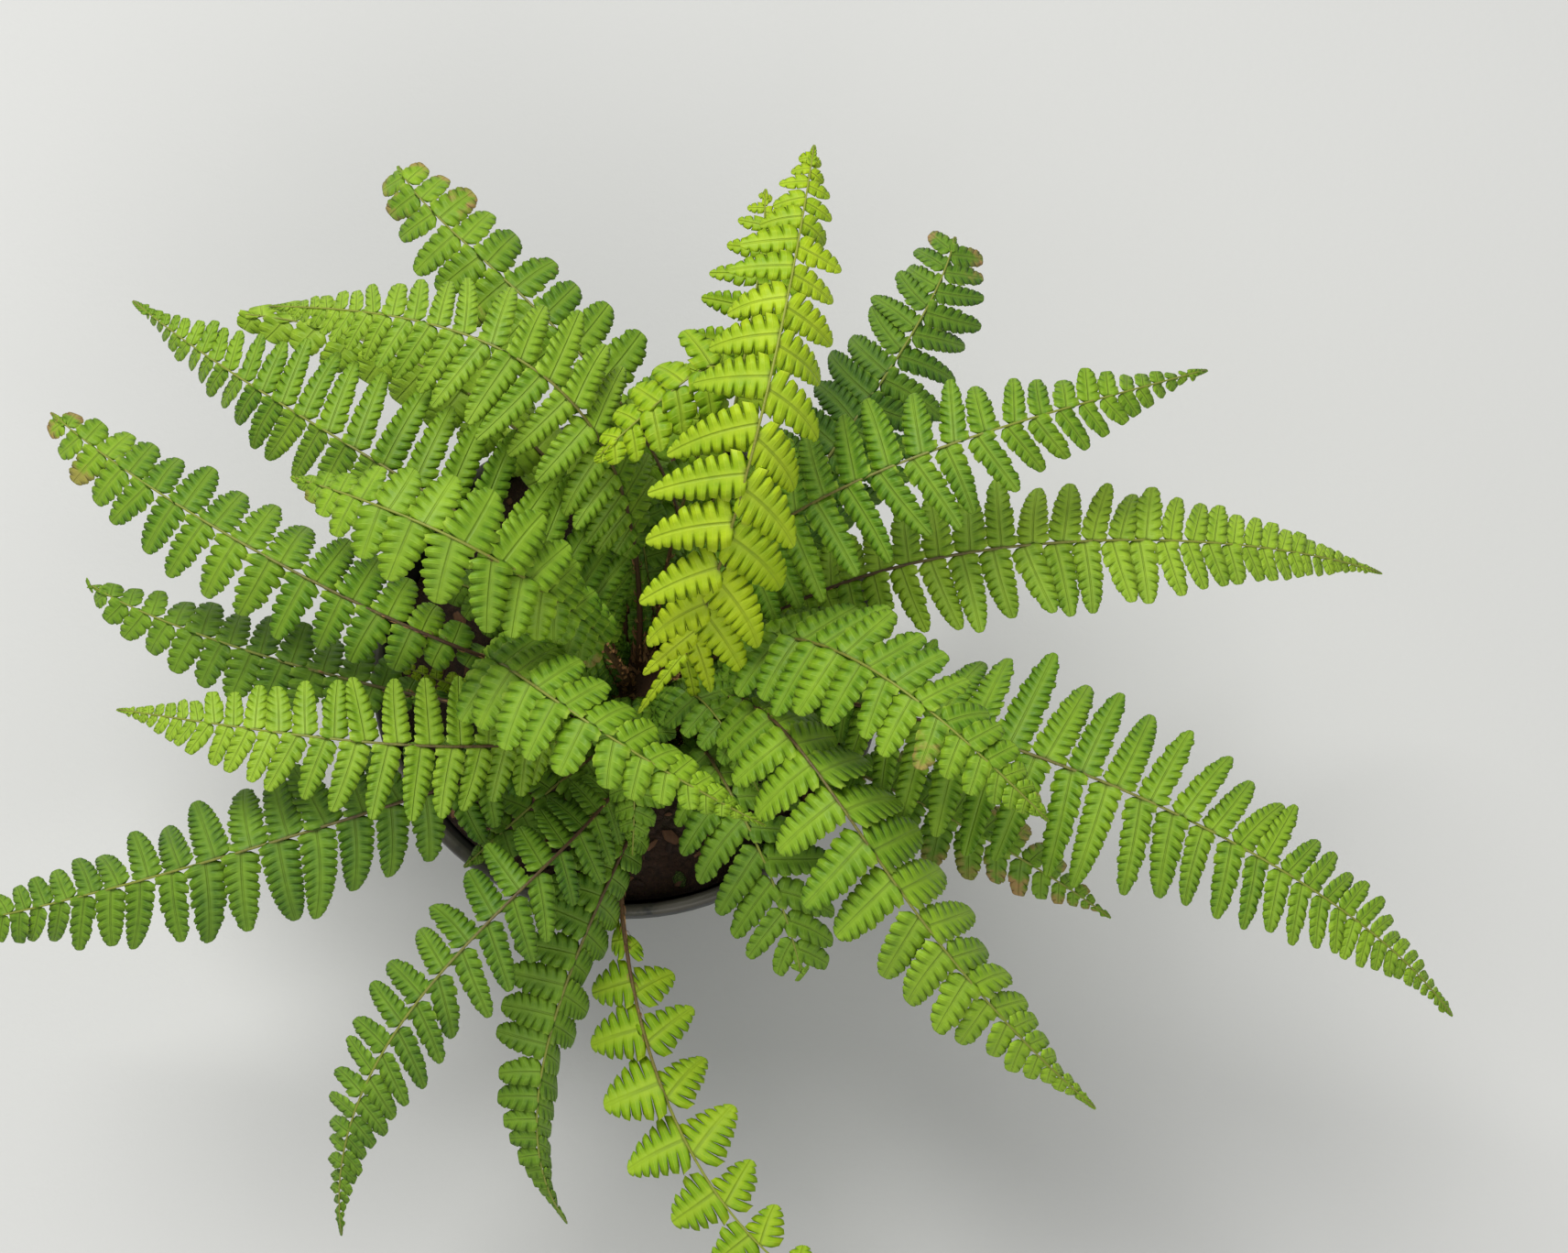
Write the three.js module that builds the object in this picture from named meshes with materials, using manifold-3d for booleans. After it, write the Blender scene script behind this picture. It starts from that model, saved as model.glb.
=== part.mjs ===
// A scaly male fern in a round plastic nursery pot, in millimetres, +Z up.
// The origin is the centre of the pot's flat underside. Seen from above, +X is east and +Y north.
// Each frond is one thin arched blade, cut to its rib into leaflets.
import * as THREE from "three";
import { mergeVertices } from "three/addons/utils/BufferGeometryUtils.js";
import Module from "manifold-3d";

// Pot
const POT_HEIGHT = 130;
const RIM_RADIUS = 85;
const BASE_RADIUS = 61;
const WALL = 1.4;
const BASE_THICKNESS = 2;
const LIP_OVERHANG = 2.6;
const LIP_HEIGHT = 8;
const POT_SIDES = 40;
const DRAIN_HOLES = 8;
const DRAIN_RADIUS = 5;
const DRAIN_CIRCLE = 48;
const DRAIN_SIDES = 12;

// Soil
const SOIL_TOP = 117;
const SOIL_RINGS = 5;
const SOIL_RIPPLE = 1.6;

// Rootstocks: the main crown that most fronds rise from, and a small offset beside it
const MAIN_CROWN = { x: 8, y: -8, radius: 21, rise: 12, around: 24, rows: 6 };
const SIDE_CROWN = { x: -36, y: -12, radius: 11, rise: 8, around: 16, rows: 4 };
const CROWN_SUNK = 14;
const SCALE_RELIEF = 1.1;

// What touches keeps this clearance
const GAP = 0.3;

// Stalk and rib, thickest where they leave the crown
const STALK_WIDTH = 3.2;
const RIB_WIDTH = 2.2;
const RIB_TIP_WIDTH = 0.9;
const STALK_THICKNESS = 2.8;
const RIB_THICKNESS = 1.3;
const RIB_TIP_THICKNESS = 0.8;
const STALK_STEPS = 6;
const STALK_DEPTH = 7;
const SOCKET_LENGTH = 14;

// Leaflets: thinner outward, widest at the rib, with a shoulder before the tip
const SHOULDER_AT = 0.7;
const SHOULDER_SHARE = 0.36;
const SHOULDER_THICKNESS = 0.7;
const TIP_THICKNESS = 0.6;
const WIDEST_AT = 0.3;
const CROWDING = 1.35;

const MID_GREEN = 0x4f8f35;
const DARK_GREEN = 0x2f6a2e;
const PALE_GREEN = 0x7fae4a;
const YOUNG_GREEN = 0xa3cc2c;

// One row for each frond, anticlockwise from the east, then the short ones over the main crown. The rib
// is a cubic curve that leaves the crown at whorl mm from its centre on the side of bearing (without one,
// the side of crest), is drawn up towards lift, over crest, and ends at tip. reach is the longest leaflet,
// pairs how many there are on each side, bare the share of the length with no leaflets, and stalk the
// stoutness; a higher taper makes a slimmer tip. In degrees, sweep is the leaflets' lean to the tip, fold
// their slope down from the rib, sag how much further they curve down outwards, and roll the frond's
// tilt about its rib, left side down.
const FRONDS = [
  { name: "east", lift: [45, 12, 252], crest: [178, 28, 213], tip: [247, 25, 150],
    whorl: 15, bearing: 0, reach: 24, pairs: 15, sag: 22, color: PALE_GREEN },
  { name: "east_north_east", lift: [15, 20, 250], crest: [110, 32, 280], tip: [184, 76, 205],
    whorl: 11, bearing: 21, reach: 28, pairs: 14, bare: 0.2, taper: 1.25, color: MID_GREEN },
  { name: "north_east", lift: [24, -4, 214], crest: [100, 85, 197], tip: [108, 134, 170],
    whorl: 16, bearing: 38, reach: 27, pairs: 11, bare: 0.35, taper: 0.35, sweep: 16, fold: 15,
    color: DARK_GREEN },
  { name: "inner_north_east", lift: [28, 8, 150], crest: [48, 22, 160], tip: [62, 38, 148],
    whorl: 17, bearing: 18, reach: 15, pairs: 5, color: DARK_GREEN },
  { name: "young_north", lift: [25, -30, 235], crest: [48, 12, 325], tip: [61, 132, 250],
    whorl: 3, reach: 30, pairs: 14, bare: 0.29, taper: 0.75, sweep: -25, fold: 15, sag: 40, roll: -12,
    color: YOUNG_GREEN },
  { name: "slender_north", lift: [22, 2, 205], crest: [47, 84, 240], tip: [46, 132, 215],
    whorl: 16, bearing: 55, reach: 22, pairs: 9, bare: 0.45, taper: 0.8, stalk: 0.7, color: YOUNG_GREEN },
  { name: "hooked_north", lift: [14, 40, 235], crest: [68, 95, 272], tip: [-4, 40, 230],
    whorl: 10, bearing: 87, reach: 16, pairs: 6, bare: 0.66, taper: 0.6, stalk: 0.7, color: YOUNG_GREEN },
  { name: "inner_north", lift: [12, 15, 150], crest: [16, 45, 163], tip: [8, 72, 148],
    whorl: 17, bearing: 92, reach: 16, pairs: 6, color: DARK_GREEN },
  { name: "north_north_west", lift: [50, 50, 230], crest: [-60, 115, 205], tip: [-76, 160, 168],
    whorl: 13, bearing: 70, reach: 22, pairs: 11, taper: 0.45, color: MID_GREEN },
  { name: "upper_north_west", lift: [14, 45, 250], crest: [-12, 73, 268], tip: [-110, 97, 205],
    whorl: 7, bearing: 135, reach: 27, pairs: 12, bare: 0.33, color: PALE_GREEN },
  { name: "hidden_north_west", lift: [8, 45, 185], crest: [-62, 98, 185], tip: [-127, 109, 165],
    whorl: 16, bearing: 125, reach: 16, pairs: 8, bare: 0.35, taper: 0.5, color: PALE_GREEN },
  { name: "north_west", lift: [0, 0, 265], crest: [-95, 45, 230], tip: [-160, 110, 175],
    whorl: 13, reach: 32, pairs: 16, bare: 0.19, fold: 15, roll: 28, color: MID_GREEN },
  { name: "inner_west", lift: [-5, -12, 262], crest: [-35, -3, 300], tip: [-95, 31, 238],
    whorl: 7, reach: 22, pairs: 11, bare: 0.52, sweep: -12, color: MID_GREEN },
  { name: "inner_west_low", lift: [-20, 8, 150], crest: [-42, 16, 160], tip: [-66, 26, 145],
    whorl: 18, bearing: 150, reach: 15, pairs: 5, color: DARK_GREEN },
  { name: "west_north_west", lift: [-45, -25, 215], crest: [-145, 36, 180], tip: [-191, 80, 150],
    whorl: 15, bearing: 175, reach: 24, pairs: 13, bare: 0.33, fold: 18, taper: 0.6, color: MID_GREEN },
  { name: "low_west", lift: [-20, -40, 190], crest: [-140, 0, 142], tip: [-181, 28, 122],
    whorl: 17, bearing: 195, reach: 19, pairs: 10, bare: 0.42, fold: 18, taper: 0.6, color: DARK_GREEN },
  { name: "small_west", lift: [-46, -12, 140], crest: [-60, -12, 148], tip: [-77, -2, 140],
    crown: SIDE_CROWN, whorl: 6, reach: 6, pairs: 6, stalk: 0.5, color: YOUNG_GREEN },
  { name: "west", lift: [-23, -54, 206], crest: [-90, -43, 211], tip: [-160, -24, 165],
    whorl: 12, bearing: 215, reach: 23, pairs: 13, fold: 4, sag: 20, color: PALE_GREEN },
  { name: "south_west", lift: [-10, -45, 215], crest: [-150, -86, 172], tip: [-230, -88, 120],
    whorl: 16, bearing: 232, reach: 29, pairs: 15, fold: 18, color: DARK_GREEN },
  { name: "inner_south_west", lift: [-6, -32, 155], crest: [-28, -55, 165], tip: [-50, -72, 150],
    whorl: 18, bearing: 242, reach: 17, pairs: 5, color: DARK_GREEN },
  { name: "south_south_west", lift: [10, -75, 205], crest: [-90, -115, 205], tip: [-88, -186, 130],
    whorl: 12, bearing: 255, reach: 25, pairs: 14, bare: 0.21, fold: 20, sweep: 22, color: DARK_GREEN },
  { name: "low_south", lift: [22, -50, 175], crest: [-50, -140, 166], tip: [-19, -181, 100],
    whorl: 13, bearing: 285, reach: 20, pairs: 12, fold: 20, roll: 38, color: DARK_GREEN },
  { name: "young_south", lift: [-10, -50, 158], crest: [-4, -184, 134], tip: [80, -210, 90],
    whorl: 17, bearing: 262, reach: 22, pairs: 8, bare: 0.36, sweep: -12, taper: 0.8, stalk: 0.7,
    color: YOUNG_GREEN },
  { name: "inner_south", lift: [22, -32, 145], crest: [29, -47, 152], tip: [32, -64, 138],
    whorl: 17, bearing: 295, reach: 13, pairs: 5, color: DARK_GREEN },
  { name: "inner_south_east", lift: [-52, 0, 230], crest: [-22, -46, 272], tip: [46, -71, 220],
    crown: SIDE_CROWN, whorl: 5, reach: 22, pairs: 12, bare: 0.32, roll: 12, color: MID_GREEN },
  { name: "low_south_east", lift: [24, -38, 195], crest: [48, -70, 188], tip: [57, -106, 158],
    whorl: 17, bearing: 318, reach: 25, pairs: 8, bare: 0.35, taper: 0.45, sweep: 18, color: DARK_GREEN },
  { name: "south_east", lift: [56, -12, 244], crest: [62, -92, 256], tip: [149, -148, 150],
    whorl: 12, bearing: 307, reach: 27, pairs: 14, bare: 0.29, fold: 25, roll: 10, color: MID_GREEN },
  { name: "hidden_east_south_east", lift: [35, -30, 190], crest: [110, -58, 168], tip: [157, -86, 135],
    whorl: 17, bearing: 335, reach: 18, pairs: 8, bare: 0.4, color: DARK_GREEN },
  { name: "east_south_east", lift: [53, -22, 240], crest: [204, -68, 234], tip: [262, -119, 150],
    whorl: 12, bearing: 345, reach: 36, pairs: 16, bare: 0.3, fold: 10, sweep: 3, color: MID_GREEN },
  { name: "inner_east", lift: [50, 8, 226], crest: [84, -41, 288], tip: [128, -73, 240],
    whorl: 7, bearing: -20, reach: 24, pairs: 12, bare: 0.35, taper: 0.9, color: MID_GREEN },
  { name: "centre_east", lift: [37, -8, 190], crest: [44, 6, 187], tip: [54, -9, 180],
    whorl: 13, bearing: 35, reach: 17, pairs: 6, bare: 0.38, stalk: 0.5, color: DARK_GREEN },
  { name: "centre_north", lift: [9, 19, 159], crest: [7, 20, 190], tip: [5, 54, 190],
    whorl: 13, bearing: 82, reach: 14, pairs: 6, bare: 0.38, stalk: 0.5, color: DARK_GREEN },
  { name: "centre_west", lift: [-9, 2, 164], crest: [-19, 8, 180], tip: [-32, 17, 181],
    whorl: 11, bearing: 191, reach: 23, pairs: 6, bare: 0.35, stalk: 0.6, color: DARK_GREEN },
  { name: "centre_south", lift: [2, -20, 167], crest: [7, -39, 186], tip: [4, -70, 160],
    whorl: 8, bearing: 222, reach: 15, pairs: 6, bare: 0.35, stalk: 0.6, color: DARK_GREEN },
  { name: "centre_south_east", lift: [21, -15, 177], crest: [29, -26, 202], tip: [44, -53, 179],
    whorl: 5, bearing: 263, reach: 15, pairs: 6, bare: 0.35, stalk: 0.6, color: DARK_GREEN },
];

const FROND_DEFAULTS = {
  crown: MAIN_CROWN, bare: 0.25, taper: 1.15, sweep: 5, fold: 8, sag: 28, roll: 0, stalk: 1,
};

const DOWN = new THREE.Vector3(0, 0, -1);

const wasm = await Module();
wasm.setup();

function toSolid(geometry) {
  const bare = geometry.clone();
  bare.deleteAttribute("normal");
  bare.deleteAttribute("uv");
  const merged = mergeVertices(bare, 1e-4);
  return new wasm.Manifold(
    new wasm.Mesh({
      numProp: 3,
      vertProperties: merged.attributes.position.array,
      triVerts: new Uint32Array(merged.index.array),
    }),
  );
}

function toGeometry(solid) {
  const mesh = solid.getMesh();
  const geometry = new THREE.BufferGeometry();
  geometry.setAttribute("position", new THREE.BufferAttribute(mesh.vertProperties, 3));
  geometry.setIndex(new THREE.BufferAttribute(mesh.triVerts, 1));
  return geometry.toNonIndexed();
}

function named(name, geometry, color, roughness) {
  geometry.computeVertexNormals();
  const material = new THREE.MeshStandardMaterial({ color, roughness, metalness: 0, flatShading: true });
  const mesh = new THREE.Mesh(geometry, material);
  mesh.name = name;
  return mesh;
}

// Turns a profile of [radius, height] points about the Z axis.
function turned(profile, sides) {
  const points = profile.map(([radius, height]) => new THREE.Vector2(radius, height));
  return new THREE.LatheGeometry(points, sides).rotateX(Math.PI / 2);
}

// Inner wall radius of the pot at a height.
function innerRadius(height) {
  const topRadius = RIM_RADIUS - LIP_OVERHANG;
  return BASE_RADIUS + ((topRadius - BASE_RADIUS) * height) / POT_HEIGHT - WALL;
}

// Tapered pot with a turned-over lip and a ring of drain holes in its floor.
function potGeometry() {
  const lipFoot = POT_HEIGHT - LIP_HEIGHT;
  const profile = [
    [0, 0],
    [BASE_RADIUS, 0],
    [innerRadius(lipFoot) + WALL, lipFoot],
    [RIM_RADIUS, lipFoot + 1],
    [RIM_RADIUS, POT_HEIGHT - 1],
    [RIM_RADIUS - 1, POT_HEIGHT],
    [innerRadius(POT_HEIGHT) + WALL, POT_HEIGHT],
    [innerRadius(POT_HEIGHT), POT_HEIGHT - 1],
    [innerRadius(BASE_THICKNESS), BASE_THICKNESS],
    [0, BASE_THICKNESS],
  ];
  let pot = toSolid(turned(profile, POT_SIDES));
  for (let i = 0; i < DRAIN_HOLES; i++) {
    const angle = (2 * Math.PI * i) / DRAIN_HOLES;
    const drill = new THREE.CylinderGeometry(DRAIN_RADIUS, DRAIN_RADIUS, 4 * BASE_THICKNESS, DRAIN_SIDES);
    drill.rotateX(Math.PI / 2);
    drill.translate(DRAIN_CIRCLE * Math.cos(angle), DRAIN_CIRCLE * Math.sin(angle), 0);
    pot = pot.subtract(toSolid(drill));
  }
  return toGeometry(pot);
}

// Height of the slightly uneven soil at a point.
function soilHeight(x, y) {
  return SOIL_TOP + SOIL_RIPPLE * Math.sin(x / 9 + 1) * Math.cos(y / 11);
}

// Soil that fills the pot, with a plain hole for each rootstock.
function soilGeometry() {
  const foot = BASE_THICKNESS + GAP;
  const profile = [[0, foot], [innerRadius(foot) - GAP, foot]];
  for (let ring = 0; ring < SOIL_RINGS; ring++) {
    profile.push([innerRadius(SOIL_TOP - SOIL_RIPPLE) * (1 - ring / SOIL_RINGS) - GAP, SOIL_TOP]);
  }
  profile.push([0, SOIL_TOP]);
  const fill = turned(profile, POT_SIDES);
  const position = fill.attributes.position;
  for (let i = 0; i < position.count; i++) {
    if (position.getZ(i) > SOIL_TOP - 1) {
      position.setZ(i, soilHeight(position.getX(i), position.getY(i)));
    }
  }
  let soil = toSolid(fill);
  for (const crown of [MAIN_CROWN, SIDE_CROWN]) {
    const radius = crown.radius + GAP;
    const hole = new THREE.CylinderGeometry(radius, radius, 4 * CROWN_SUNK, 2 * crown.around);
    hole.rotateX(Math.PI / 2);
    hole.translate(crown.x, crown.y, SOIL_TOP + CROWN_SUNK);
    soil = soil.subtract(toSolid(hole));
  }
  return toGeometry(soil);
}

// Rootstock: a dome on a short post, its surface raised into rows of pointed scales.
function crownBody(crown) {
  const foot = SOIL_TOP - CROWN_SUNK + GAP;
  const radius = crown.radius - SCALE_RELIEF;
  const profile = [[0, foot], [radius, foot]];
  for (let row = 0; row < crown.rows; row++) {
    const angle = (Math.PI / 2) * (row / crown.rows);
    profile.push([radius * Math.cos(angle), SOIL_TOP + crown.rise * Math.sin(angle)]);
  }
  profile.push([0, SOIL_TOP + crown.rise]);
  const dome = turned(profile, crown.around);
  const position = dome.attributes.position;
  const point = new THREE.Vector3();
  for (let i = 0; i < position.count; i++) {
    point.fromBufferAttribute(position, i);
    const row = profile.findIndex(([, height]) => Math.abs(height - point.z) < 0.01);
    const spoke = Math.round((Math.atan2(point.y, point.x) * crown.around) / (2 * Math.PI));
    if (row > 1 && row < profile.length - 1 && (row + spoke) % 2 === 0) {
      const out = SCALE_RELIEF / Math.hypot(point.x, point.y);
      position.setXY(i, point.x * (1 + out), point.y * (1 + out));
    }
  }
  return dome.translate(crown.x, crown.y, 0);
}

// The rib as a curve, with the frame that its leaflets stand in.
function frondSpine(frond) {
  const { crown } = frond;
  const lift = new THREE.Vector3(...frond.lift);
  const crest = new THREE.Vector3(...frond.crest);
  const tip = new THREE.Vector3(...frond.tip);
  const bearing = THREE.MathUtils.degToRad(
    frond.bearing ?? THREE.MathUtils.radToDeg(Math.atan2(crest.y - crown.y, crest.x - crown.x)),
  );
  const root = new THREE.Vector3(
    crown.x + frond.whorl * Math.cos(bearing),
    crown.y + frond.whorl * Math.sin(bearing),
    SOIL_TOP + crown.rise * Math.sqrt(1 - (frond.whorl / crown.radius) ** 2) - STALK_DEPTH,
  );
  const curve = new THREE.CubicBezierCurve3(root, lift, crest, tip);
  const heading = new THREE.Vector3(tip.x - lift.x, tip.y - lift.y, 0).normalize();
  const left = new THREE.Vector3(-heading.y, heading.x, 0);
  const frameAt = (share) => {
    const at = curve.getPointAt(share);
    const along = curve.getTangentAt(share);
    const side = left.clone().addScaledVector(along, -left.dot(along)).normalize();
    const up = new THREE.Vector3().crossVectors(along, side);
    return { at, along, side, up };
  };
  return { frameAt, length: curve.getLength() };
}

// Length of the leaflets at a share of the leafy part, as a share of the longest.
function outline(share, taper) {
  if (share < WIDEST_AT) {
    return 0.6 + 0.4 * Math.sin((Math.PI / 2) * (share / WIDEST_AT));
  }
  return Math.cos((Math.PI / 2) * ((share - WIDEST_AT) / (1 - WIDEST_AT))) ** taper;
}

class Blade {
  constructor() {
    this.corners = [];
    this.faces = [];
  }
  add(point) {
    this.corners.push(point.x, point.y, point.z);
    return this.corners.length / 3 - 1;
  }
  quad(a, b, c, d) {
    this.faces.push(a, b, c, a, c, d);
  }
  geometry() {
    const geometry = new THREE.BufferGeometry();
    geometry.setAttribute("position", new THREE.Float32BufferAttribute(this.corners, 3));
    geometry.setIndex(this.faces);
    return geometry.toNonIndexed();
  }
}

// Four corners across the rib: upper left, upper right, lower right, lower left.
function ribSection(blade, frame, width, thickness) {
  const corner = (across, upward) =>
    blade.add(
      frame.at.clone()
        .addScaledVector(frame.side, (across * width) / 2)
        .addScaledVector(frame.up, (upward * thickness) / 2),
    );
  return [corner(1, 1), corner(-1, 1), corner(-1, -1), corner(1, -1)];
}

// Section at one step of the bare stalk, with room left around it.
function stalkSection(blade, frond, frame, step, room) {
  const share = step / STALK_STEPS;
  const width = frond.stalk * THREE.MathUtils.lerp(STALK_WIDTH, RIB_WIDTH, share);
  const thickness = frond.stalk * THREE.MathUtils.lerp(STALK_THICKNESS, RIB_THICKNESS, share);
  return ribSection(blade, frame, width + 2 * room, thickness + 2 * room);
}

function joinSections(blade, from, to, sides) {
  for (const i of sides) {
    const j = (i + 1) % 4;
    blade.quad(from[i], from[j], to[j], to[i]);
  }
}

// One leaflet on the rib's left (hand 1) or right (hand -1), from the edge between two sections.
function leaflet(blade, frond, frameAt, hand, near, far, from, to, reach) {
  const frame = frameAt((from + to) / 2);
  const sweep = THREE.MathUtils.degToRad(frond.sweep);
  const slope = THREE.MathUtils.degToRad(frond.fold + hand * frond.roll);
  const sag = THREE.MathUtils.degToRad(frond.sag);
  const out = frame.side.clone().multiplyScalar(hand * Math.cos(sweep));
  out.addScaledVector(frame.along, Math.sin(sweep));
  const cell = frameAt(from).at.distanceTo(frameAt(to).at);
  const place = (v, w, thickness, level) =>
    blade.add(
      frame.at.clone()
        .addScaledVector(out, (reach / sag) * (Math.sin(slope + sag * v) - Math.sin(slope)))
        .addScaledVector(frame.along, w * cell * SHOULDER_SHARE)
        .addScaledVector(frame.up, (level * thickness) / 2)
        .addScaledVector(DOWN, (reach / sag) * (Math.cos(slope) - Math.cos(slope + sag * v))),
    );
  const rim = [SHOULDER_THICKNESS, TIP_THICKNESS, SHOULDER_THICKNESS];
  const spots = [[SHOULDER_AT, -1], [1, 0], [SHOULDER_AT, 1]];
  const top = spots.map(([v, w], i) => place(v, w, rim[i], 1));
  const bottom = spots.map(([v, w], i) => place(v, w, rim[i], -1));
  const [upper, lower] = hand > 0 ? [0, 3] : [1, 2];
  const topLoop = [near[upper], ...top, far[upper]];
  const bottomLoop = [near[lower], ...bottom, far[lower]];
  const triangles = [[0, 1, 3], [0, 3, 4], [1, 2, 3]];
  for (const [a, b, c] of triangles) {
    const turn = hand > 0 ? [c, b, a] : [a, b, c];
    blade.faces.push(...turn.map((k) => topLoop[k]));
    blade.faces.push(...turn.reverse().map((k) => bottomLoop[k]));
  }
  for (let i = 0; i < 4; i++) {
    if (hand > 0) {
      blade.quad(topLoop[i], topLoop[i + 1], bottomLoop[i + 1], bottomLoop[i]);
    } else {
      blade.quad(topLoop[i + 1], topLoop[i], bottomLoop[i], bottomLoop[i + 1]);
    }
  }
}

// A whole frond: the bare stalk, the rib with its leaflets in pairs, and the tip.
function frondGeometry(frond) {
  const blade = new Blade();
  const { frameAt } = frondSpine(frond);
  const mix = THREE.MathUtils.lerp;
  let last = stalkSection(blade, frond, frameAt(0), 0, 0);
  blade.quad(last[3], last[2], last[1], last[0]);
  for (let step = 1; step <= STALK_STEPS; step++) {
    const section = stalkSection(blade, frond, frameAt((frond.bare * step) / STALK_STEPS), step, 0);
    joinSections(blade, last, section, [0, 1, 2, 3]);
    last = section;
  }
  const station = (i) => 1 - (1 - i / (frond.pairs + 1)) ** CROWDING;
  for (let i = 1; i <= frond.pairs; i++) {
    const from = mix(frond.bare, 1, station(i - 1));
    const to = mix(frond.bare, 1, station(i));
    const share = station(i);
    const section = ribSection(
      blade,
      frameAt(to),
      mix(frond.stalk * RIB_WIDTH, RIB_TIP_WIDTH, share),
      mix(frond.stalk * RIB_THICKNESS, RIB_TIP_THICKNESS, share),
    );
    joinSections(blade, last, section, [0, 2]);
    const reach = frond.reach * outline((station(i - 1) + share) / 2, frond.taper);
    leaflet(blade, frond, frameAt, 1, last, section, from, to, reach);
    leaflet(blade, frond, frameAt, -1, last, section, from, to, reach);
    last = section;
  }
  const end = frameAt(1);
  const top = blade.add(end.at.clone().addScaledVector(end.up, TIP_THICKNESS / 2));
  const bottom = blade.add(end.at.clone().addScaledVector(end.up, -TIP_THICKNESS / 2));
  blade.faces.push(last[0], last[1], top);
  blade.faces.push(last[2], last[3], bottom);
  blade.quad(last[1], last[2], bottom, top);
  blade.quad(last[3], last[0], top, bottom);
  return blade.geometry();
}

// The room that a frond's foot takes in its rootstock, with clearance all round.
function socketGeometry(frond) {
  const blade = new Blade();
  const { frameAt, length } = frondSpine(frond);
  const stepLength = (frond.bare * length) / STALK_STEPS;
  const foot = frameAt(0);
  foot.at.addScaledVector(foot.along, -GAP);
  let last = stalkSection(blade, frond, foot, 0, GAP);
  blade.quad(last[3], last[2], last[1], last[0]);
  for (let step = 0; step <= Math.ceil(SOCKET_LENGTH / stepLength); step++) {
    const section = stalkSection(blade, frond, frameAt((frond.bare * step) / STALK_STEPS), step, GAP);
    joinSections(blade, last, section, [0, 1, 2, 3]);
    last = section;
  }
  blade.quad(...last);
  return blade.geometry();
}

function crownGeometry(crown, fronds) {
  let solid = toSolid(crownBody(crown));
  for (const frond of fronds) {
    solid = solid.subtract(toSolid(socketGeometry(frond)));
  }
  return toGeometry(solid);
}

const fern = new THREE.Group();
const fronds = FRONDS.map((frond) => ({ ...FROND_DEFAULTS, ...frond }));
const onCrown = (crown) => fronds.filter((frond) => frond.crown === crown);
fern.add(named("pot", potGeometry(), 0x23241f, 0.5));
fern.add(named("soil", soilGeometry(), 0x33211a, 0.95));
fern.add(named("main_crown", crownGeometry(MAIN_CROWN, onCrown(MAIN_CROWN)), 0x5a3a20, 0.9));
fern.add(named("side_crown", crownGeometry(SIDE_CROWN, onCrown(SIDE_CROWN)), 0x5a3a20, 0.9));
for (const frond of fronds) {
  fern.add(named("frond_" + frond.name, frondGeometry(frond), frond.color, 0.6));
}

export default fern;
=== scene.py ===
"""A potted scaly male fern, in metres, +Z up, its origin at the centre of the pot's underside.

Seen from above, +X is east and +Y is north. Each frond follows the rib of its own solid.
"""

import math
import random

import bmesh
import bpy
from mathutils import Matrix, Vector, noise


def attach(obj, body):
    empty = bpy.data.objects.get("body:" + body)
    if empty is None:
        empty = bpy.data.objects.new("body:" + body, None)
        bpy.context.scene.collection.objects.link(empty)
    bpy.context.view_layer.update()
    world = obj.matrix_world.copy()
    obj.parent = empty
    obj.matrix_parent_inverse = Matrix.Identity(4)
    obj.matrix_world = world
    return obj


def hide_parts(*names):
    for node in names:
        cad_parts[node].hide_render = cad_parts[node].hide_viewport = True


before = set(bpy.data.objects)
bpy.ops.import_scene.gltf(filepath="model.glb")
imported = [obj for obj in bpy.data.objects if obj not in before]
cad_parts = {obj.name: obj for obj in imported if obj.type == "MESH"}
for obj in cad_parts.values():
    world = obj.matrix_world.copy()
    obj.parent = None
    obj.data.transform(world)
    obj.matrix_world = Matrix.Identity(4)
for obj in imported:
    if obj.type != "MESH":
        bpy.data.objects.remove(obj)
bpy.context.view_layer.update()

MM = 0.001
BODY = "root"

# The camera stands above and a little south of the pot and looks down, tilted north
CAMERA_PLACE = (0.0519, -0.2235, 1.074)
CAMERA_TILT = math.radians(14)
CAMERA_WIDTH = math.radians(30)

# Studio, in metres
FLOOR_HALF_WIDTH = 4
LIGHTS_AIM = (0, 0, 0.15)
SKY_COLOUR = (0.96, 0.98, 1.0, 1)
SKY_STRENGTH = 0.33

# Pot and soil, in millimetres
POT_HEIGHT = 130
RIM_RADIUS = 85
BASE_RADIUS = 61
WALL = 1.4
BASE_THICKNESS = 2
LIP_OVERHANG = 2.6
LIP_HEIGHT = 8
DRAIN_HOLES = 8
DRAIN_RADIUS = 5
DRAIN_CIRCLE = 48
DRAIN_SIDES = 24
EDGE_ROUNDING = 0.4
POT_STEPS = 96
SOIL_TOP = 117
SOIL_RINGS = 26
GAP = 0.3
CHIPS = 430
CHIP_SHAPE = ((0.8, 1.9), (0.5, 0.9), (0.25, 0.5))
CUSHIONS = 46

# Rootstocks, in millimetres, and how many scales stand on each
MAIN_CROWN = {"x": 8, "y": -8, "radius": 21, "rise": 12, "scales": 620}
SIDE_CROWN = {"x": -36, "y": -12, "radius": 11, "rise": 8, "scales": 150}
CROWN_SUNK = 14
SCALE_RELIEF = 1.1
CROWN_STEPS = 48
DOME_ROWS = 12

# Stalk and rib of a frond, in millimetres. Scales reach SCALY_PART times as far as the bare stalk
STALK_WIDTH = 3.0
RIB_WIDTH = 1.1
RIB_TIP_WIDTH = 0.5
STALK_HEIGHT = 2.6
RIB_HEIGHT = 1.1
RIB_TIP_HEIGHT = 0.5
STALK_DEPTH = 7
RIB_SIDES = 8
RIB_STEPS = 48
STALK_SCALES = 70
SCALY_PART = 1.3

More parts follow.
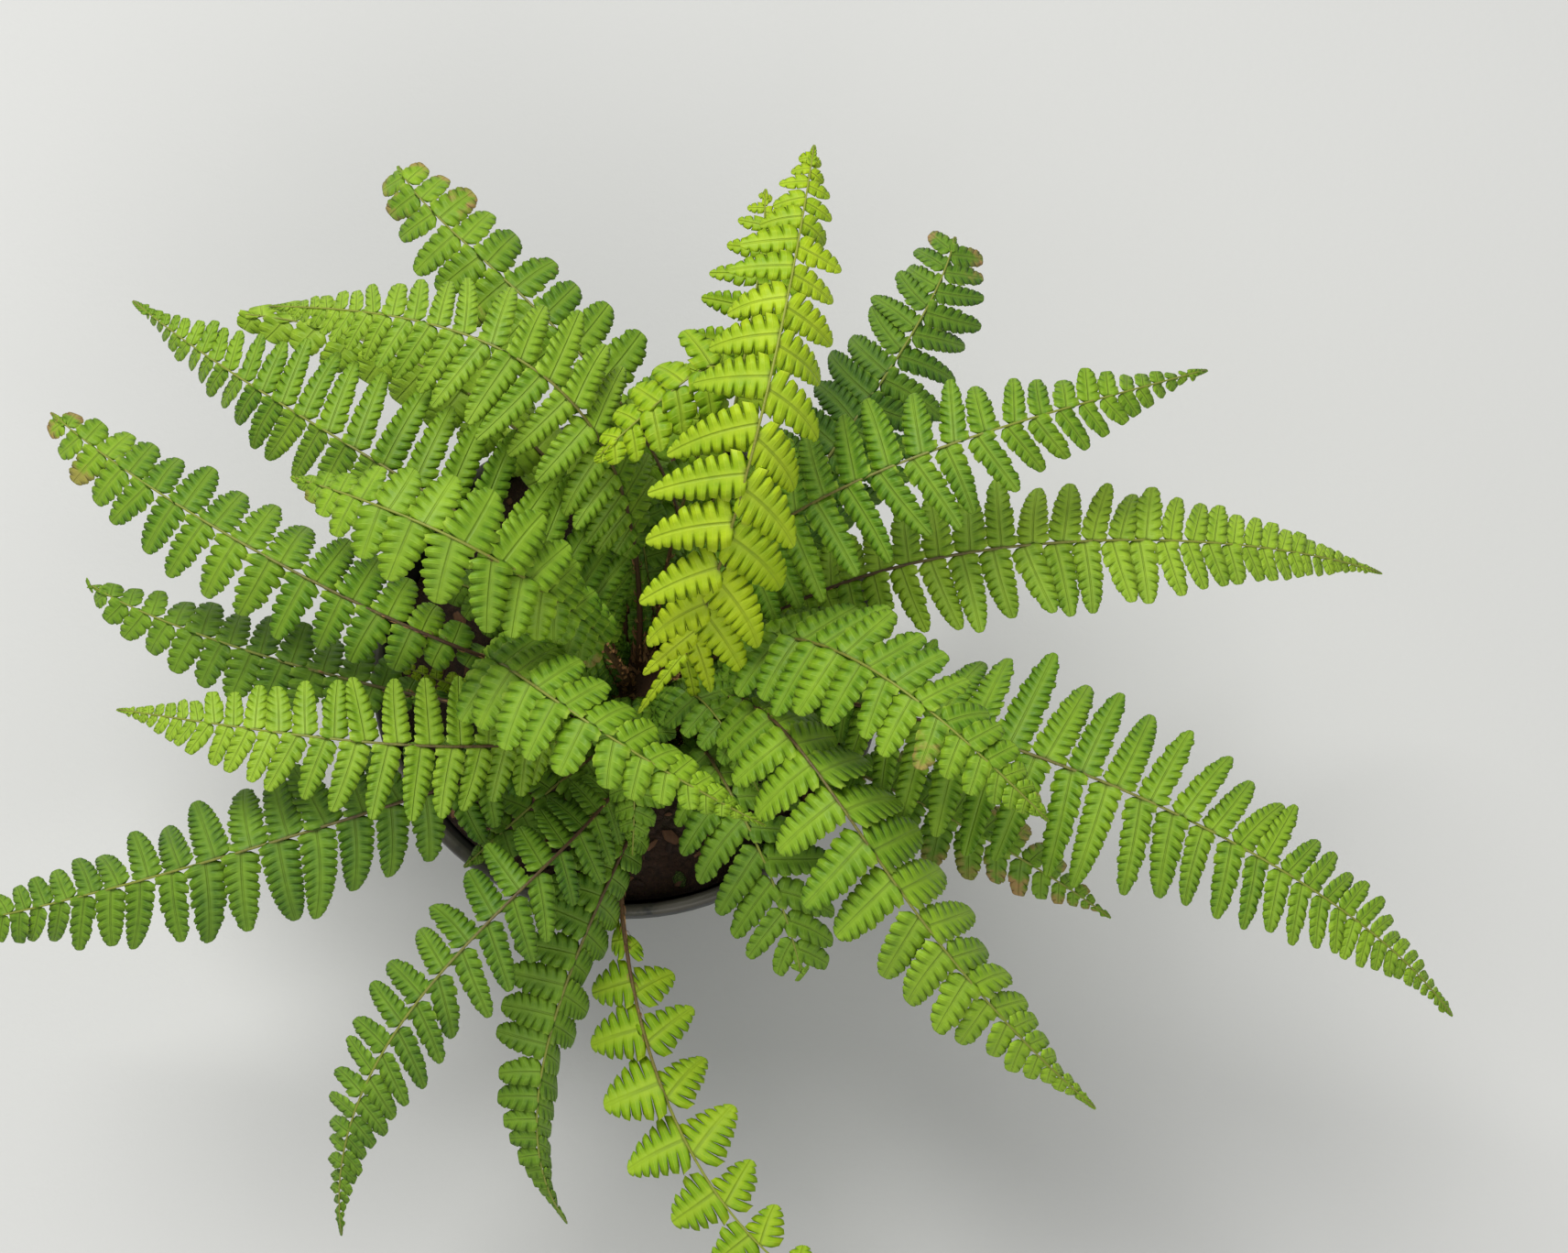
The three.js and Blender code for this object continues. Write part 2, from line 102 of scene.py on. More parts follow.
# Where the points of a lobe's outline lie along it: lobes that are toothed, and lobes parted by slits.
# The point between two teeth is NOTCH_POINT, and it lies in by NOTCH_DEPTH
TOOTHED = (0.0, 0.14, 0.38, 0.58, 0.82)
PARTED = (0.0, 0.06, 0.25, 0.75, 0.94)
NOTCH_POINT = 3
NOTCH_DEPTH = 0.06

# How the leaflets of each kind of frond are cut: pairs beside the solid's, the outline of a lobe and its
# length in millimetres, how square its end is, the depth of the cuts, how far the lobes slant forwards,
# how high they swell, how blunt long and short leaflets are, and how much of the pitch a leaflet fills at
# the frond's base and at its tip
CUTS = {
    "mid": {
        "pairs": 1.25, "steps": TOOTHED, "lobe": 2.7, "square": 3.6, "cut": 0.23, "slant": 0.7,
        "swell": 0.48, "blunt": (3.0, 3.2), "fill": (0.98, 0.88)},
    "dark": {
        "pairs": 1.25, "steps": TOOTHED, "lobe": 2.7, "square": 3.4, "cut": 0.25, "slant": 0.7,
        "swell": 0.5, "blunt": (3.2, 3.2), "fill": (1.0, 0.88)},
    "pale": {
        "pairs": 1.25, "steps": TOOTHED, "lobe": 2.7, "square": 3.6, "cut": 0.22, "slant": 0.7,
        "swell": 0.45, "blunt": (3.2, 3.4), "fill": (1.0, 0.9)},
    "broad": {
        "pairs": 1.15, "steps": TOOTHED, "lobe": 3.3, "square": 3.0, "cut": 0.25, "slant": 0.5,
        "swell": 0.42, "blunt": (4.0, 4.0), "fill": (1.16, 1.04)},
    "lobed": {
        "pairs": 1.1, "steps": TOOTHED, "lobe": 3.1, "square": 3.0, "cut": 0.4, "slant": 0.5,
        "swell": 0.5, "blunt": (3.2, 3.4), "fill": (1.06, 0.98)},
    "young": {
        "pairs": 1.1, "steps": PARTED, "lobe": 3.4, "square": 9, "cut": 0.62, "slant": 0.35,
        "swell": 0.6, "blunt": (1.7, 1.8), "fill": (1.25, 0.92)},
    "beaded": {
        "pairs": 1.1, "steps": PARTED, "lobe": 3.2, "square": 8, "cut": 0.88, "slant": 0.4,
        "swell": 0.7, "blunt": (1.5, 1.9), "fill": (1.15, 0.85)},
    "round": {
        "pairs": 1.0, "steps": PARTED, "lobe": 4.4, "square": 9, "cut": 0.6, "slant": 0.2,
        "swell": 0.8, "blunt": (4.0, 5.0), "fill": (1.1, 1.05)},
}
TIP = {
    "steps": TOOTHED, "lobe": 1.7, "square": 3.0, "cut": 0.45, "slant": 1.2, "swell": 0.7,
    "blunt": (1.3, 1.3)}
TIP_SHARE = 0.03

# Leaflets of any kind, in millimetres, and the columns of faces across a full one and a small one. Relief
# grows with length, up to the long one's
LEAFLET_THICKNESS = 0.3
SMALL_LEAFLET = 7
LONG_LEAFLET = 22
LEAFLET_COLUMNS = 4
SMALL_COLUMNS = 2

# How lobes shorten towards a leaflet's end, and how far the two of a pair stand apart along the rib
LOBE_CROWDING = 1.15
PAIR_OFFSET = 0.14

FROND_DEFAULTS = {
    "crown": MAIN_CROWN, "bare": 0.25, "taper": 1.15, "sweep": 5, "fold": 8, "sag": 28, "roll": 0,
    "stalk": 1, "blemish": 0, "bend": 0, "wave": 0.08, "foot_pairs": 2, "density": 1,
    "spread": 1, "tip_lean": 30, "foot_lean": 0, "foot_size": 0.35, "shear": 0, "shade": 0,
    "widest": 0.3, "dead_tip": 0, "tip_shade": 0.6, "level": 0.9, "tip_pitch": 0.28,
    "foot_open": 0,
}

# One row for each frond, anticlockwise from the east, then the five over the main crown. The rib is a
# cubic curve that leaves the crown at whorl mm from its centre on the side of bearing (without one, the
# side of crest), is drawn up towards lift, over crest, and ends at tip. bare is the share of the length
# with no leaflets, and stalk the stoutness. reach is the longest leaflet and widest the share of the
# leafy part where it stands; a higher taper makes a slimmer tip. In degrees, sweep is the leaflets' lean
# to the tip, shear how much more those on the left and less those on the right lean, fold their slope
# down from the rib, sag how much further they curve down outwards, and roll the frond's tilt about its
# rib, left side down.
# look is the colour and cut the form of the leaflets. pairs is how many there are on each side, density
# multiplies it, and spread their breadth. wave is their unevenness, and a negative bend curves their ends
# towards the foot. foot_pairs is how many pairs stand on the bare stalk, foot_size the length of the
# lowest, foot_lean its lean, and foot_open how much further apart those near the foot stand.
# tip_lean is the lean of the last, and tip_pitch how close they stand. level turns leaflets flat where
# the rib climbs. shade and tip_shade lighten a whole frond and its tip as painted light and shade,
# blemish is the share of rusty leaflets, and dead_tip browns the tip.

FRONDS = [
    {"name": "east", "lift": (45, 12, 252), "crest": (178, 28, 213), "tip": (247, 25, 150), "whorl": 15,
     "bearing": 0, "reach": 24, "pairs": 15, "sag": 22, "look": "pale", "density": 1.25, "spread": 1.1,
     "foot_pairs": 5, "foot_size": 0.7, "shade": 0.5},
    {"name": "east_north_east", "lift": (15, 20, 250), "crest": (110, 32, 280), "tip": (184, 76, 205),
     "whorl": 11, "bearing": 21, "bare": 0.2, "reach": 28, "pairs": 14, "taper": 1.25, "look": "mid",
     "density": 1.2, "spread": 0.98, "foot_pairs": 3, "foot_size": 0.6, "tip_pitch": 0.5, "shade": -0.4},
    {"name": "north_east", "lift": (24, -4, 214), "crest": (100, 85, 197), "tip": (108, 134, 170),
     "whorl": 16, "bearing": 38, "bare": 0.35, "reach": 27, "pairs": 11, "taper": 0.35, "sweep": 16,
     "fold": 15, "look": "dark", "spread": 1.2, "wave": 0.2, "tip_lean": 10, "tip_pitch": 0.6,
     "shade": -0.5, "blemish": 0.04, "dead_tip": 1},
    {"name": "inner_north_east", "lift": (28, 8, 150), "crest": (48, 22, 160), "tip": (62, 38, 148),
     "whorl": 17, "bearing": 18, "reach": 15, "pairs": 5, "look": "dark", "spread": 1.2, "foot_pairs": 4,
     "foot_size": 0.6},
    {"name": "young_north", "lift": (25, -30, 235), "crest": (48, 12, 325), "tip": (61, 132, 250),
     "whorl": 3, "bare": 0.29, "reach": 30, "pairs": 14, "taper": 0.75, "sweep": -13, "fold": 15, "sag": 40,
     "roll": -12, "look": "young", "density": 0.92, "spread": 1.0, "bend": -0.09, "foot_pairs": 1,
     "foot_size": 1.4, "foot_lean": -50, "foot_open": 0.8, "tip_lean": 0, "tip_pitch": 0.2, "level": 0.8,
     "shade": 0.9, "tip_shade": -2.6},
    {"name": "slender_north", "lift": (22, 2, 205), "crest": (47, 84, 240), "tip": (46, 132, 215),
     "whorl": 16, "bearing": 55, "bare": 0.45, "stalk": 0.7, "reach": 22, "pairs": 9, "taper": 0.8,
     "look": "young", "cut": "beaded", "density": 0.85, "spread": 0.85, "tip_lean": 0, "shade": -0.6},
    {"name": "hooked_north", "lift": (14, 40, 235), "crest": (68, 95, 272), "tip": (-4, 40, 230),
     "whorl": 10, "bearing": 87, "bare": 0.66, "stalk": 0.7, "reach": 16, "pairs": 6, "taper": 0.6,
     "look": "young", "cut": "round", "shade": -0.6},
    {"name": "inner_north", "lift": (12, 15, 150), "crest": (16, 45, 163), "tip": (8, 72, 148), "whorl": 17,
     "bearing": 92, "reach": 16, "pairs": 6, "look": "dark", "spread": 1.2, "foot_pairs": 5,
     "foot_size": 0.6},
    {"name": "north_north_west", "lift": (50, 50, 230), "crest": (-60, 115, 205), "tip": (-76, 160, 168),
     "whorl": 13, "bearing": 70, "reach": 22, "pairs": 11, "taper": 0.4, "look": "mid", "cut": "broad",
     "spread": 0.86, "tip_lean": 10, "tip_pitch": 0.65, "blemish": 0.35},
    {"name": "upper_north_west", "lift": (14, 45, 250), "crest": (-12, 73, 268), "tip": (-110, 97, 205),
     "whorl": 7, "bearing": 135, "bare": 0.33, "reach": 27, "pairs": 12, "look": "pale", "density": 1.08},
    {"name": "hidden_north_west", "lift": (8, 45, 185), "crest": (-62, 98, 185), "tip": (-127, 109, 165),
     "whorl": 16, "bearing": 125, "bare": 0.35, "reach": 16, "pairs": 8, "taper": 0.5, "look": "pale",
     "cut": "broad", "wave": 0.2, "tip_pitch": 0.6, "shade": 0.5, "blemish": 0.05},
    {"name": "north_west", "lift": (0, 0, 265), "crest": (-95, 45, 230), "tip": (-160, 110, 175),
     "whorl": 13, "bare": 0.19, "reach": 32, "pairs": 16, "fold": 15, "roll": 28, "look": "mid"},
    {"name": "inner_west", "lift": (-5, -12, 262), "crest": (-35, -3, 300), "tip": (-95, 31, 238),
     "whorl": 7, "bare": 0.52, "reach": 22, "pairs": 11, "sweep": -12, "look": "mid", "cut": "lobed",
     "density": 0.66, "spread": 1.1, "foot_pairs": 5, "foot_size": 0.8, "shade": 0.4, "blemish": 0.04},
    {"name": "inner_west_low", "lift": (-20, 8, 150), "crest": (-42, 16, 160), "tip": (-66, 26, 145),
     "whorl": 18, "bearing": 150, "reach": 15, "pairs": 5, "look": "dark", "spread": 1.2, "foot_pairs": 3,
     "foot_size": 0.6},
    {"name": "west_north_west", "lift": (-45, -25, 215), "crest": (-145, 36, 180), "tip": (-191, 80, 150),
     "whorl": 15, "bearing": 175, "bare": 0.33, "reach": 24, "pairs": 13, "taper": 0.6, "fold": 18,
     "look": "mid", "cut": "lobed", "density": 0.86, "tip_lean": 15, "tip_pitch": 0.6, "shade": -0.5,
     "blemish": 0.08, "dead_tip": 1},
    {"name": "low_west", "lift": (-20, -40, 190), "crest": (-140, 0, 142), "tip": (-181, 28, 122),
     "whorl": 17, "bearing": 195, "bare": 0.42, "reach": 19, "pairs": 10, "taper": 0.6, "fold": 18,
     "look": "dark", "cut": "lobed", "density": 0.92, "spread": 1.05, "tip_pitch": 0.5},
    {"name": "small_west", "lift": (-46, -12, 140), "crest": (-60, -12, 148), "tip": (-77, -2, 140),
     "whorl": 6, "crown": SIDE_CROWN, "stalk": 0.5, "reach": 6, "pairs": 6, "look": "young",
     "cut": "beaded", "shade": -0.5},
    {"name": "west", "lift": (-23, -54, 206), "crest": (-90, -43, 211), "tip": (-160, -24, 165),
     "whorl": 12, "bearing": 215, "reach": 23, "pairs": 13, "fold": 4, "sag": 20, "look": "pale",
     "shade": 0.4},
    {"name": "south_west", "lift": (-10, -45, 215), "crest": (-150, -86, 172), "tip": (-230, -88, 120),
     "whorl": 16, "bearing": 232, "reach": 29, "pairs": 15, "fold": 18, "look": "dark", "density": 0.92,
     "spread": 1.05, "wave": 0.16, "blemish": 0.03},
    {"name": "inner_south_west", "lift": (-6, -32, 155), "crest": (-28, -55, 165), "tip": (-50, -72, 150),
     "whorl": 18, "bearing": 242, "reach": 17, "pairs": 5, "look": "dark", "spread": 1.2, "foot_pairs": 4,
     "foot_size": 0.6},
    {"name": "south_south_west", "lift": (10, -75, 205), "crest": (-90, -115, 205), "tip": (-88, -186, 130),
     "whorl": 12, "bearing": 255, "bare": 0.21, "reach": 25, "pairs": 14, "sweep": 8, "shear": 22,
     "fold": 20, "look": "dark", "foot_pairs": 1, "tip_lean": 0},
    {"name": "low_south", "lift": (22, -50, 175), "crest": (-50, -140, 166), "tip": (-19, -181, 100),
     "whorl": 13, "bearing": 285, "reach": 20, "pairs": 12, "fold": 20, "roll": 38, "look": "dark",
     "spread": 1.25, "foot_pairs": 1, "tip_lean": 10, "shade": 0.3},
    {"name": "young_south", "lift": (-10, -50, 158), "crest": (-4, -184, 134), "tip": (80, -210, 90),
     "whorl": 17, "bearing": 262, "bare": 0.36, "stalk": 1.1, "reach": 22, "pairs": 8, "taper": 0.8,
     "sweep": -14, "shear": -14, "look": "young", "cut": "beaded", "density": 0.8, "foot_pairs": 1,
     "tip_lean": 0, "shade": -0.9},
    {"name": "inner_south", "lift": (22, -32, 145), "crest": (29, -47, 152), "tip": (32, -64, 138),
     "whorl": 17, "bearing": 295, "reach": 13, "pairs": 5, "look": "dark", "spread": 1.2, "foot_pairs": 4,
     "foot_size": 0.6},
    {"name": "inner_south_east", "lift": (-52, 0, 230), "crest": (-22, -46, 272), "tip": (46, -71, 220),
     "whorl": 5, "crown": SIDE_CROWN, "bare": 0.32, "reach": 22, "pairs": 12, "roll": 12, "look": "mid",
     "cut": "broad", "density": 0.88},
    {"name": "low_south_east", "lift": (24, -38, 195), "crest": (48, -70, 188), "tip": (57, -106, 158),
     "whorl": 17, "bearing": 318, "bare": 0.35, "reach": 25, "pairs": 8, "taper": 0.45, "sweep": 18,
     "look": "dark", "cut": "broad", "density": 0.85, "wave": 0.15, "tip_pitch": 0.7, "shade": 0.4},
    {"name": "south_east", "lift": (56, -12, 244), "crest": (62, -92, 256), "tip": (149, -148, 150),
     "whorl": 12, "bearing": 307, "bare": 0.29, "reach": 27, "pairs": 14, "fold": 25, "roll": 10,
     "look": "mid", "cut": "broad", "density": 0.85, "spread": 0.95, "shade": 0.4},
    {"name": "hidden_east_south_east", "lift": (35, -30, 190), "crest": (110, -58, 168),
     "tip": (157, -86, 135), "whorl": 17, "bearing": 335, "bare": 0.4, "reach": 18, "pairs": 8,
     "look": "dark", "shade": 0.4, "blemish": 0.6},
    {"name": "east_south_east", "lift": (53, -22, 240), "crest": (204, -68, 234), "tip": (262, -119, 150),
     "whorl": 12, "bearing": 345, "bare": 0.3, "reach": 36, "pairs": 16, "widest": 0.12, "sweep": 3,
     "fold": 10, "look": "mid", "blemish": 0.03},
    {"name": "inner_east", "lift": (50, 8, 226), "crest": (84, -41, 288), "tip": (128, -73, 240),
     "whorl": 7, "bearing": -20, "bare": 0.35, "reach": 24, "pairs": 12, "taper": 0.9, "look": "mid",
     "cut": "broad", "density": 0.92, "blemish": 0.05},
    {"name": "centre_east", "lift": (37, -8, 190), "crest": (44, 6, 187), "tip": (54, -9, 180), "whorl": 13,
     "bearing": 35, "bare": 0.38, "stalk": 0.5, "reach": 17, "pairs": 6, "look": "dark", "spread": 1.2,
     "foot_pairs": 5, "foot_size": 0.8},
    {"name": "centre_north", "lift": (9, 19, 159), "crest": (7, 20, 190), "tip": (5, 54, 190), "whorl": 13,
     "bearing": 82, "bare": 0.38, "stalk": 0.5, "reach": 14, "pairs": 6, "look": "dark", "spread": 1.3,
     "foot_pairs": 7, "foot_size": 1.4},
    {"name": "centre_west", "lift": (-9, 2, 164), "crest": (-19, 8, 180), "tip": (-32, 17, 181),
     "whorl": 11, "bearing": 191, "bare": 0.35, "stalk": 0.6, "reach": 23, "pairs": 6, "look": "dark",
     "spread": 1.4, "foot_pairs": 6, "foot_size": 1.2},
    {"name": "centre_south", "lift": (2, -20, 167), "crest": (7, -39, 186), "tip": (4, -70, 160),
     "whorl": 8, "bearing": 222, "bare": 0.35, "stalk": 0.6, "reach": 15, "pairs": 6, "look": "dark",
     "spread": 1.3, "foot_pairs": 6, "foot_size": 1.4},
    {"name": "centre_south_east", "lift": (21, -15, 177), "crest": (29, -26, 202), "tip": (44, -53, 179),
     "whorl": 5, "bearing": 263, "bare": 0.35, "stalk": 0.6, "reach": 15, "pairs": 6, "look": "dark",
     "spread": 1.2, "foot_pairs": 5, "foot_size": 0.8},
]


# Shader values

class Field:
    """A shader value that adds its Math nodes as it is used in an expression."""

    def __init__(self, finish, socket):
        self.finish = finish
        self.socket = socket

    def math(self, operation, *values):
        node = self.finish.node("ShaderNodeMath", {"operation": operation}, dict(enumerate(values)))
        return Field(self.finish, node.outputs[0])

    def __add__(self, other):
        return self.math("ADD", self, other)

    def __radd__(self, other):
        return self.math("ADD", other, self)

    def __sub__(self, other):
        return self.math("SUBTRACT", self, other)

    def __rsub__(self, other):
        return self.math("SUBTRACT", other, self)

    def __mul__(self, other):
        return self.math("MULTIPLY", self, other)

    def __pow__(self, other):
        return self.math("POWER", self, other)

    def size(self):
        return self.math("ABSOLUTE", self)

    def part(self):
        return self.math("FRACT", self)

    def between(self, low, high):
        """Rises smoothly from 0 at low to 1 at high."""
        settings = {"interpolation_type": "SMOOTHSTEP", "clamp": True}
        node = self.finish.node("ShaderNodeMapRange", settings, {0: self, 1: low, 2: high})
        return Field(self.finish, node.outputs[0])


class Finish:
    """A material and the nodes that it is made of."""

    def __init__(self, name):
        self.material = bpy.data.materials.new(name)
        self.material.use_nodes = True
        self.tree = self.material.node_tree
        self.tree.nodes.clear()
        self.place = self.node("ShaderNodeTexCoord").outputs["Object"]

    def node(self, kind, settings=None, values=None):
        node = self.tree.nodes.new(kind)
        for key, value in (settings or {}).items():
            setattr(node, key, value)
        for key, value in (values or {}).items():
            if isinstance(value, Field):
                value = value.socket
            if isinstance(value, bpy.types.NodeSocket):
                self.tree.links.new(value, node.inputs[key])
            else:
                node.inputs[key].default_value = value
        return node

    def noise(self, scale, detail=3.0, roughness=0.55, stretch=None):
        place = self.place
        if stretch:
            place = self.node("ShaderNodeMapping", None, {"Vector": place, "Scale": stretch}).outputs[0]
        values = {"Vector": place, "Scale": scale, "Detail": detail, "Roughness": roughness}
        return Field(self, self.node("ShaderNodeTexNoise", None, values).outputs[0])

    def cells(self, scale):
        node = self.node("ShaderNodeTexVoronoi", None, {"Vector": self.place, "Scale": scale})
        return Field(self, node.outputs["Distance"])

    def height(self):
        """Height above the pot's underside, in metres."""
        parts = self.node("ShaderNodeSeparateXYZ", None, {0: self.place})
        return Field(self, parts.outputs[2])

    def across(self, name):
        """The two values of a UV map."""
        uv = self.node("ShaderNodeUVMap", {"uv_map": name}).outputs[0]
        parts = self.node("ShaderNodeSeparateXYZ", None, {0: uv})
        return Field(self, parts.outputs[0]), Field(self, parts.outputs[1])

    def marks(self):
        """The four values that each vertex carries."""
        node = self.node("ShaderNodeAttribute", {"attribute_name": "marks"})
        parts = self.node("ShaderNodeSeparateXYZ", None, {0: node.outputs["Vector"]})
        three = [Field(self, output) for output in parts.outputs]
        return (*three, Field(self, node.outputs["Alpha"]))

    def blend(self, share, first, second):
        """Colour that goes from first to second as share goes from 0 to 1."""
        settings = {"data_type": "RGBA", "blend_type": "MIX", "clamp_factor": True}
        node = self.node("ShaderNodeMix", settings, {0: share, 6: first, 7: second})
        return node.outputs[2]

    def close(self, colour, roughness, height, relief, fixed=None):
        """Ends the nodes in a Principled shader. fixed holds the values that are the same all over."""
        bump = self.node("ShaderNodeBump", None, {"Height": height, "Distance": relief, "Strength": 1.0})
        values = {"Base Color": colour, "Roughness": roughness, "Normal": bump.outputs[0], **(fixed or {})}
        shader = self.node("ShaderNodeBsdfPrincipled", None, values)
        self.node("ShaderNodeOutputMaterial", None, {"Surface": shader.outputs[0]})
        return self.material


def leaf_finish(name, deep, light, pale_edge, groove_shade, gloss):
    """Leaf tissue: ribbed between the lobes' grooves, with painted shade along them and painted light on
    the lobes' crests, browned where it is marked.
    """
    finish = Finish(name)
    along, over = finish.across("leaflet")
    tone, long, to_tip, blemish = finish.marks()
    side = over.size()
    ridge = 1 - (along.part() * 2 - 1) ** 2
    seam = (1 - ridge.between(0.0, 0.5)) * side.between(0.1, 0.6)
    midrib = 1 - side.between(0.01, 0.08)
    vein = (1 - ((along.part() - 0.5) * 2).size().between(0.0, 0.16)) * side.between(0.08, 0.3)
    mottle = finish.noise(240, 4.0)
    grain = finish.noise(1700, 2.0)
    patch = finish.noise(24, 2.0)
    # painted shade: the seams between lobes get a darker green, more on long leaflets, for the shade in
    # these creases
    shadow = long * (groove_shade * 0.7) + groove_shade * 0.3
    # body mixes the tissue's own mottled tone with painted light: lighter on the lobes' swelling crests and
    # on short leaflets towards the frond's tips, darker on long ones, plus the painted light and shade that
    # tone carries
    body = ridge * side * 0.3 + mottle * 0.9 + patch * 0.9 + tone * 0.3 - long * 0.3 - 0.6
    colour = finish.blend(body, deep, light)
    colour = finish.blend((1 - side.between(0.08, 0.35)) * 0.25, colour, pale_edge)
    colour = finish.blend(side.between(0.8, 1.0) * 0.5, colour, pale_edge)
    # painted shade in the seams between lobes
    colour = finish.blend(seam * shadow, colour, tuple(0.4 * value for value in deep[:3]) + (1,))
    colour = finish.blend(vein * 0.2, colour, pale_edge)
    colour = finish.blend(midrib * (1 - to_tip.between(0.2, 0.8)) * 0.36, colour, (0.09, 0.13, 0.014, 1))
    foot = (1 - to_tip.between(0.0, 0.06)) * (1 - side.between(0.1, 0.4))
    colour = finish.blend(foot * 0.7, colour, (0.03, 0.02, 0.008, 1))
    rust = blemish * (mottle * 1.6 + patch * 0.8 + to_tip * 0.8 + side * 0.25).between(1.7, 2.15) * 0.8
    colour = finish.blend(rust, colour, (0.4, 0.2, 0.09, 1))
    height = (ridge * side.between(0.1, 0.6) - seam) * (long * 0.3 + 0.12) - midrib * 0.3 + mottle * 0.35
    height = height + vein * 0.08 + grain * 0.06
    roughness = gloss + mottle * 0.22 + seam * 0.1
    return finish.close(colour, roughness, height, 0.0009, {"Specular IOR Level": 0.3})


def rib_finish(name, foot, outer):
    """Stalk and rib: brown where it leaves the crown, green further out."""
    finish = Finish(name)
    _, outward, _, _ = finish.marks()
    streak = finish.noise(420, 3.0, 0.6)
    fleck = finish.noise(1300, 2.0)
    share = (outward + (streak - 0.5) * 0.3).between(0.3, 0.75)
    colour = finish.blend(share, foot, outer)
    colour = finish.blend((fleck - 0.52) * 3 * (1 - share) + 0.1, colour, (0.05, 0.022, 0.01, 1))
    return finish.close(colour, streak * 0.3 + 0.4, streak * 0.5 + fleck * 0.4, 0.0003)


def scale_finish():
    """Papery scales: golden brown, darker at the foot."""
    finish = Finish("papery_scales")
    tone, to_tip, _, _ = finish.marks()
    streak = finish.noise(900, 3.0, 0.6, (1, 1, 0.3))
    colour = finish.blend(tone + (streak - 0.5) * 0.5, (0.12, 0.045, 0.016, 1), (0.42, 0.22, 0.075, 1))
    colour = finish.blend(to_tip * 0.5, colour, (0.5, 0.29, 0.12, 1))
    return finish.close(colour, streak * 0.3 + 0.5, streak, 0.0002)


def crown_finish():
    """Rootstock skin under the scales."""
    finish = Finish("rootstock_skin")
    fibre = finish.noise(300, 5.0, 0.7, (1, 1, 0.35))
    patch = finish.noise(60, 2.0)
    colour = finish.blend(fibre * 1.4 - 0.2, (0.022, 0.011, 0.006, 1), (0.16, 0.075, 0.03, 1))
    colour = finish.blend(patch.between(0.5, 0.75) * 0.4, colour, (0.05, 0.06, 0.02, 1))
    return finish.close(colour, fibre * 0.2 + 0.7, fibre, 0.0009)


def soil_finish():
    """Damp bark and coir, with patches of moss."""
    finish = Finish("bark_compost")
    crumb = finish.cells(330)
    fine = finish.noise(900, 4.0, 0.7)
    patch = finish.noise(26, 3.0)
    moss = patch.between(0.56, 0.68) * finish.noise(180, 4.0, 0.7).between(0.42, 0.62)
    colour = finish.blend(fine * 1.3 - 0.2, (0.009, 0.004, 0.002, 1), (0.085, 0.036, 0.016, 1))
    colour = finish.blend(crumb.between(0.35, 0.9) * 0.5, colour, (0.012, 0.007, 0.005, 1))
    colour = finish.blend(moss * 0.7, colour, (0.06, 0.1, 0.02, 1))
    roughness = 0.92 - patch.between(0.3, 0.6) * 0.2 + moss * 0.08
    return finish.close(colour, roughness, fine * 0.6 - crumb * 0.8, 0.0016)


def chip_finish():
    """Chips of bark, from dark red-brown to tan."""
    finish = Finish("bark_chips")
    tone, _, _, _ = finish.marks()
    grain = finish.noise(500, 4.0, 0.7, (1, 0.25, 1))
    colour = finish.blend(tone * 0.9 + (grain - 0.5) * 0.5, (0.024, 0.01, 0.005, 1), (0.2, 0.09, 0.038, 1))
    colour = finish.blend(tone.between(0.93, 0.97), colour, (0.4, 0.27, 0.15, 1))
    return finish.close(colour, grain * 0.2 + 0.68, grain, 0.0007)


def moss_finish():
    """Moss cushions."""
    finish = Finish("moss")
    tuft = finish.cells(1500)
    patch = finish.noise(200, 3.0)
    colour = finish.blend(tuft * 0.9 + patch * 0.4 - 0.2, (0.13, 0.2, 0.025, 1), (0.02, 0.045, 0.008, 1))
    return finish.close(colour, patch * 0.1 + 0.85, 1 - tuft, 0.0012)


def pot_finish():
    """Black nursery plastic: satin, dusty, with dried splashes and fine scuffs, and a paler lip top that is
    part dust, part painted highlight.
    """
    finish = Finish("nursery_plastic")
    dust = finish.noise(14, 5.0, 0.65)
    speck = finish.noise(520, 3.0, 0.7)
    scuff = finish.noise(90, 4.0, 0.6, (1, 1, 14))
    splash = finish.noise(75, 4.0, 0.7)
    clean, dusty = (0.011, 0.012, 0.0105, 1), (0.05, 0.052, 0.042, 1)
    colour = finish.blend(dust.between(0.42, 0.75) * 0.7, clean, dusty)
    colour = finish.blend(scuff.between(0.6, 0.8) * 0.3, colour, (0.075, 0.078, 0.066, 1))
    colour = finish.blend(splash.between(0.63, 0.7) * 0.6, colour, (0.07, 0.045, 0.028, 1))
    # the top 2 mm of the lip turns paler in patches: partly dust, partly a painted highlight
    lip_dust_and_highlight = finish.height().between(POT_HEIGHT * MM - 0.002, POT_HEIGHT * MM) * splash.between(0.3, 0.5)
    colour = finish.blend(lip_dust_and_highlight * 0.55, colour, (0.13, 0.115, 0.085, 1))
    roughness = 0.34 + dust * 0.22 + scuff * 0.1 + splash.between(0.63, 0.7) * 0.3
    return finish.close(colour, roughness, speck * 0.4 + scuff * 0.3, 0.00012)


def floor_finish():
    """Pale, faintly uneven studio floor."""
    finish = Finish("pale_floor")
    cloud = finish.noise(1.5, 4.0)
    grain = finish.noise(300, 2.0)
    colour = finish.blend(cloud, (0.56, 0.56, 0.545, 1), (0.63, 0.63, 0.62, 1))
    return finish.close(colour, cloud * 0.1 + 0.75, grain, 0.0001)


# Shapes

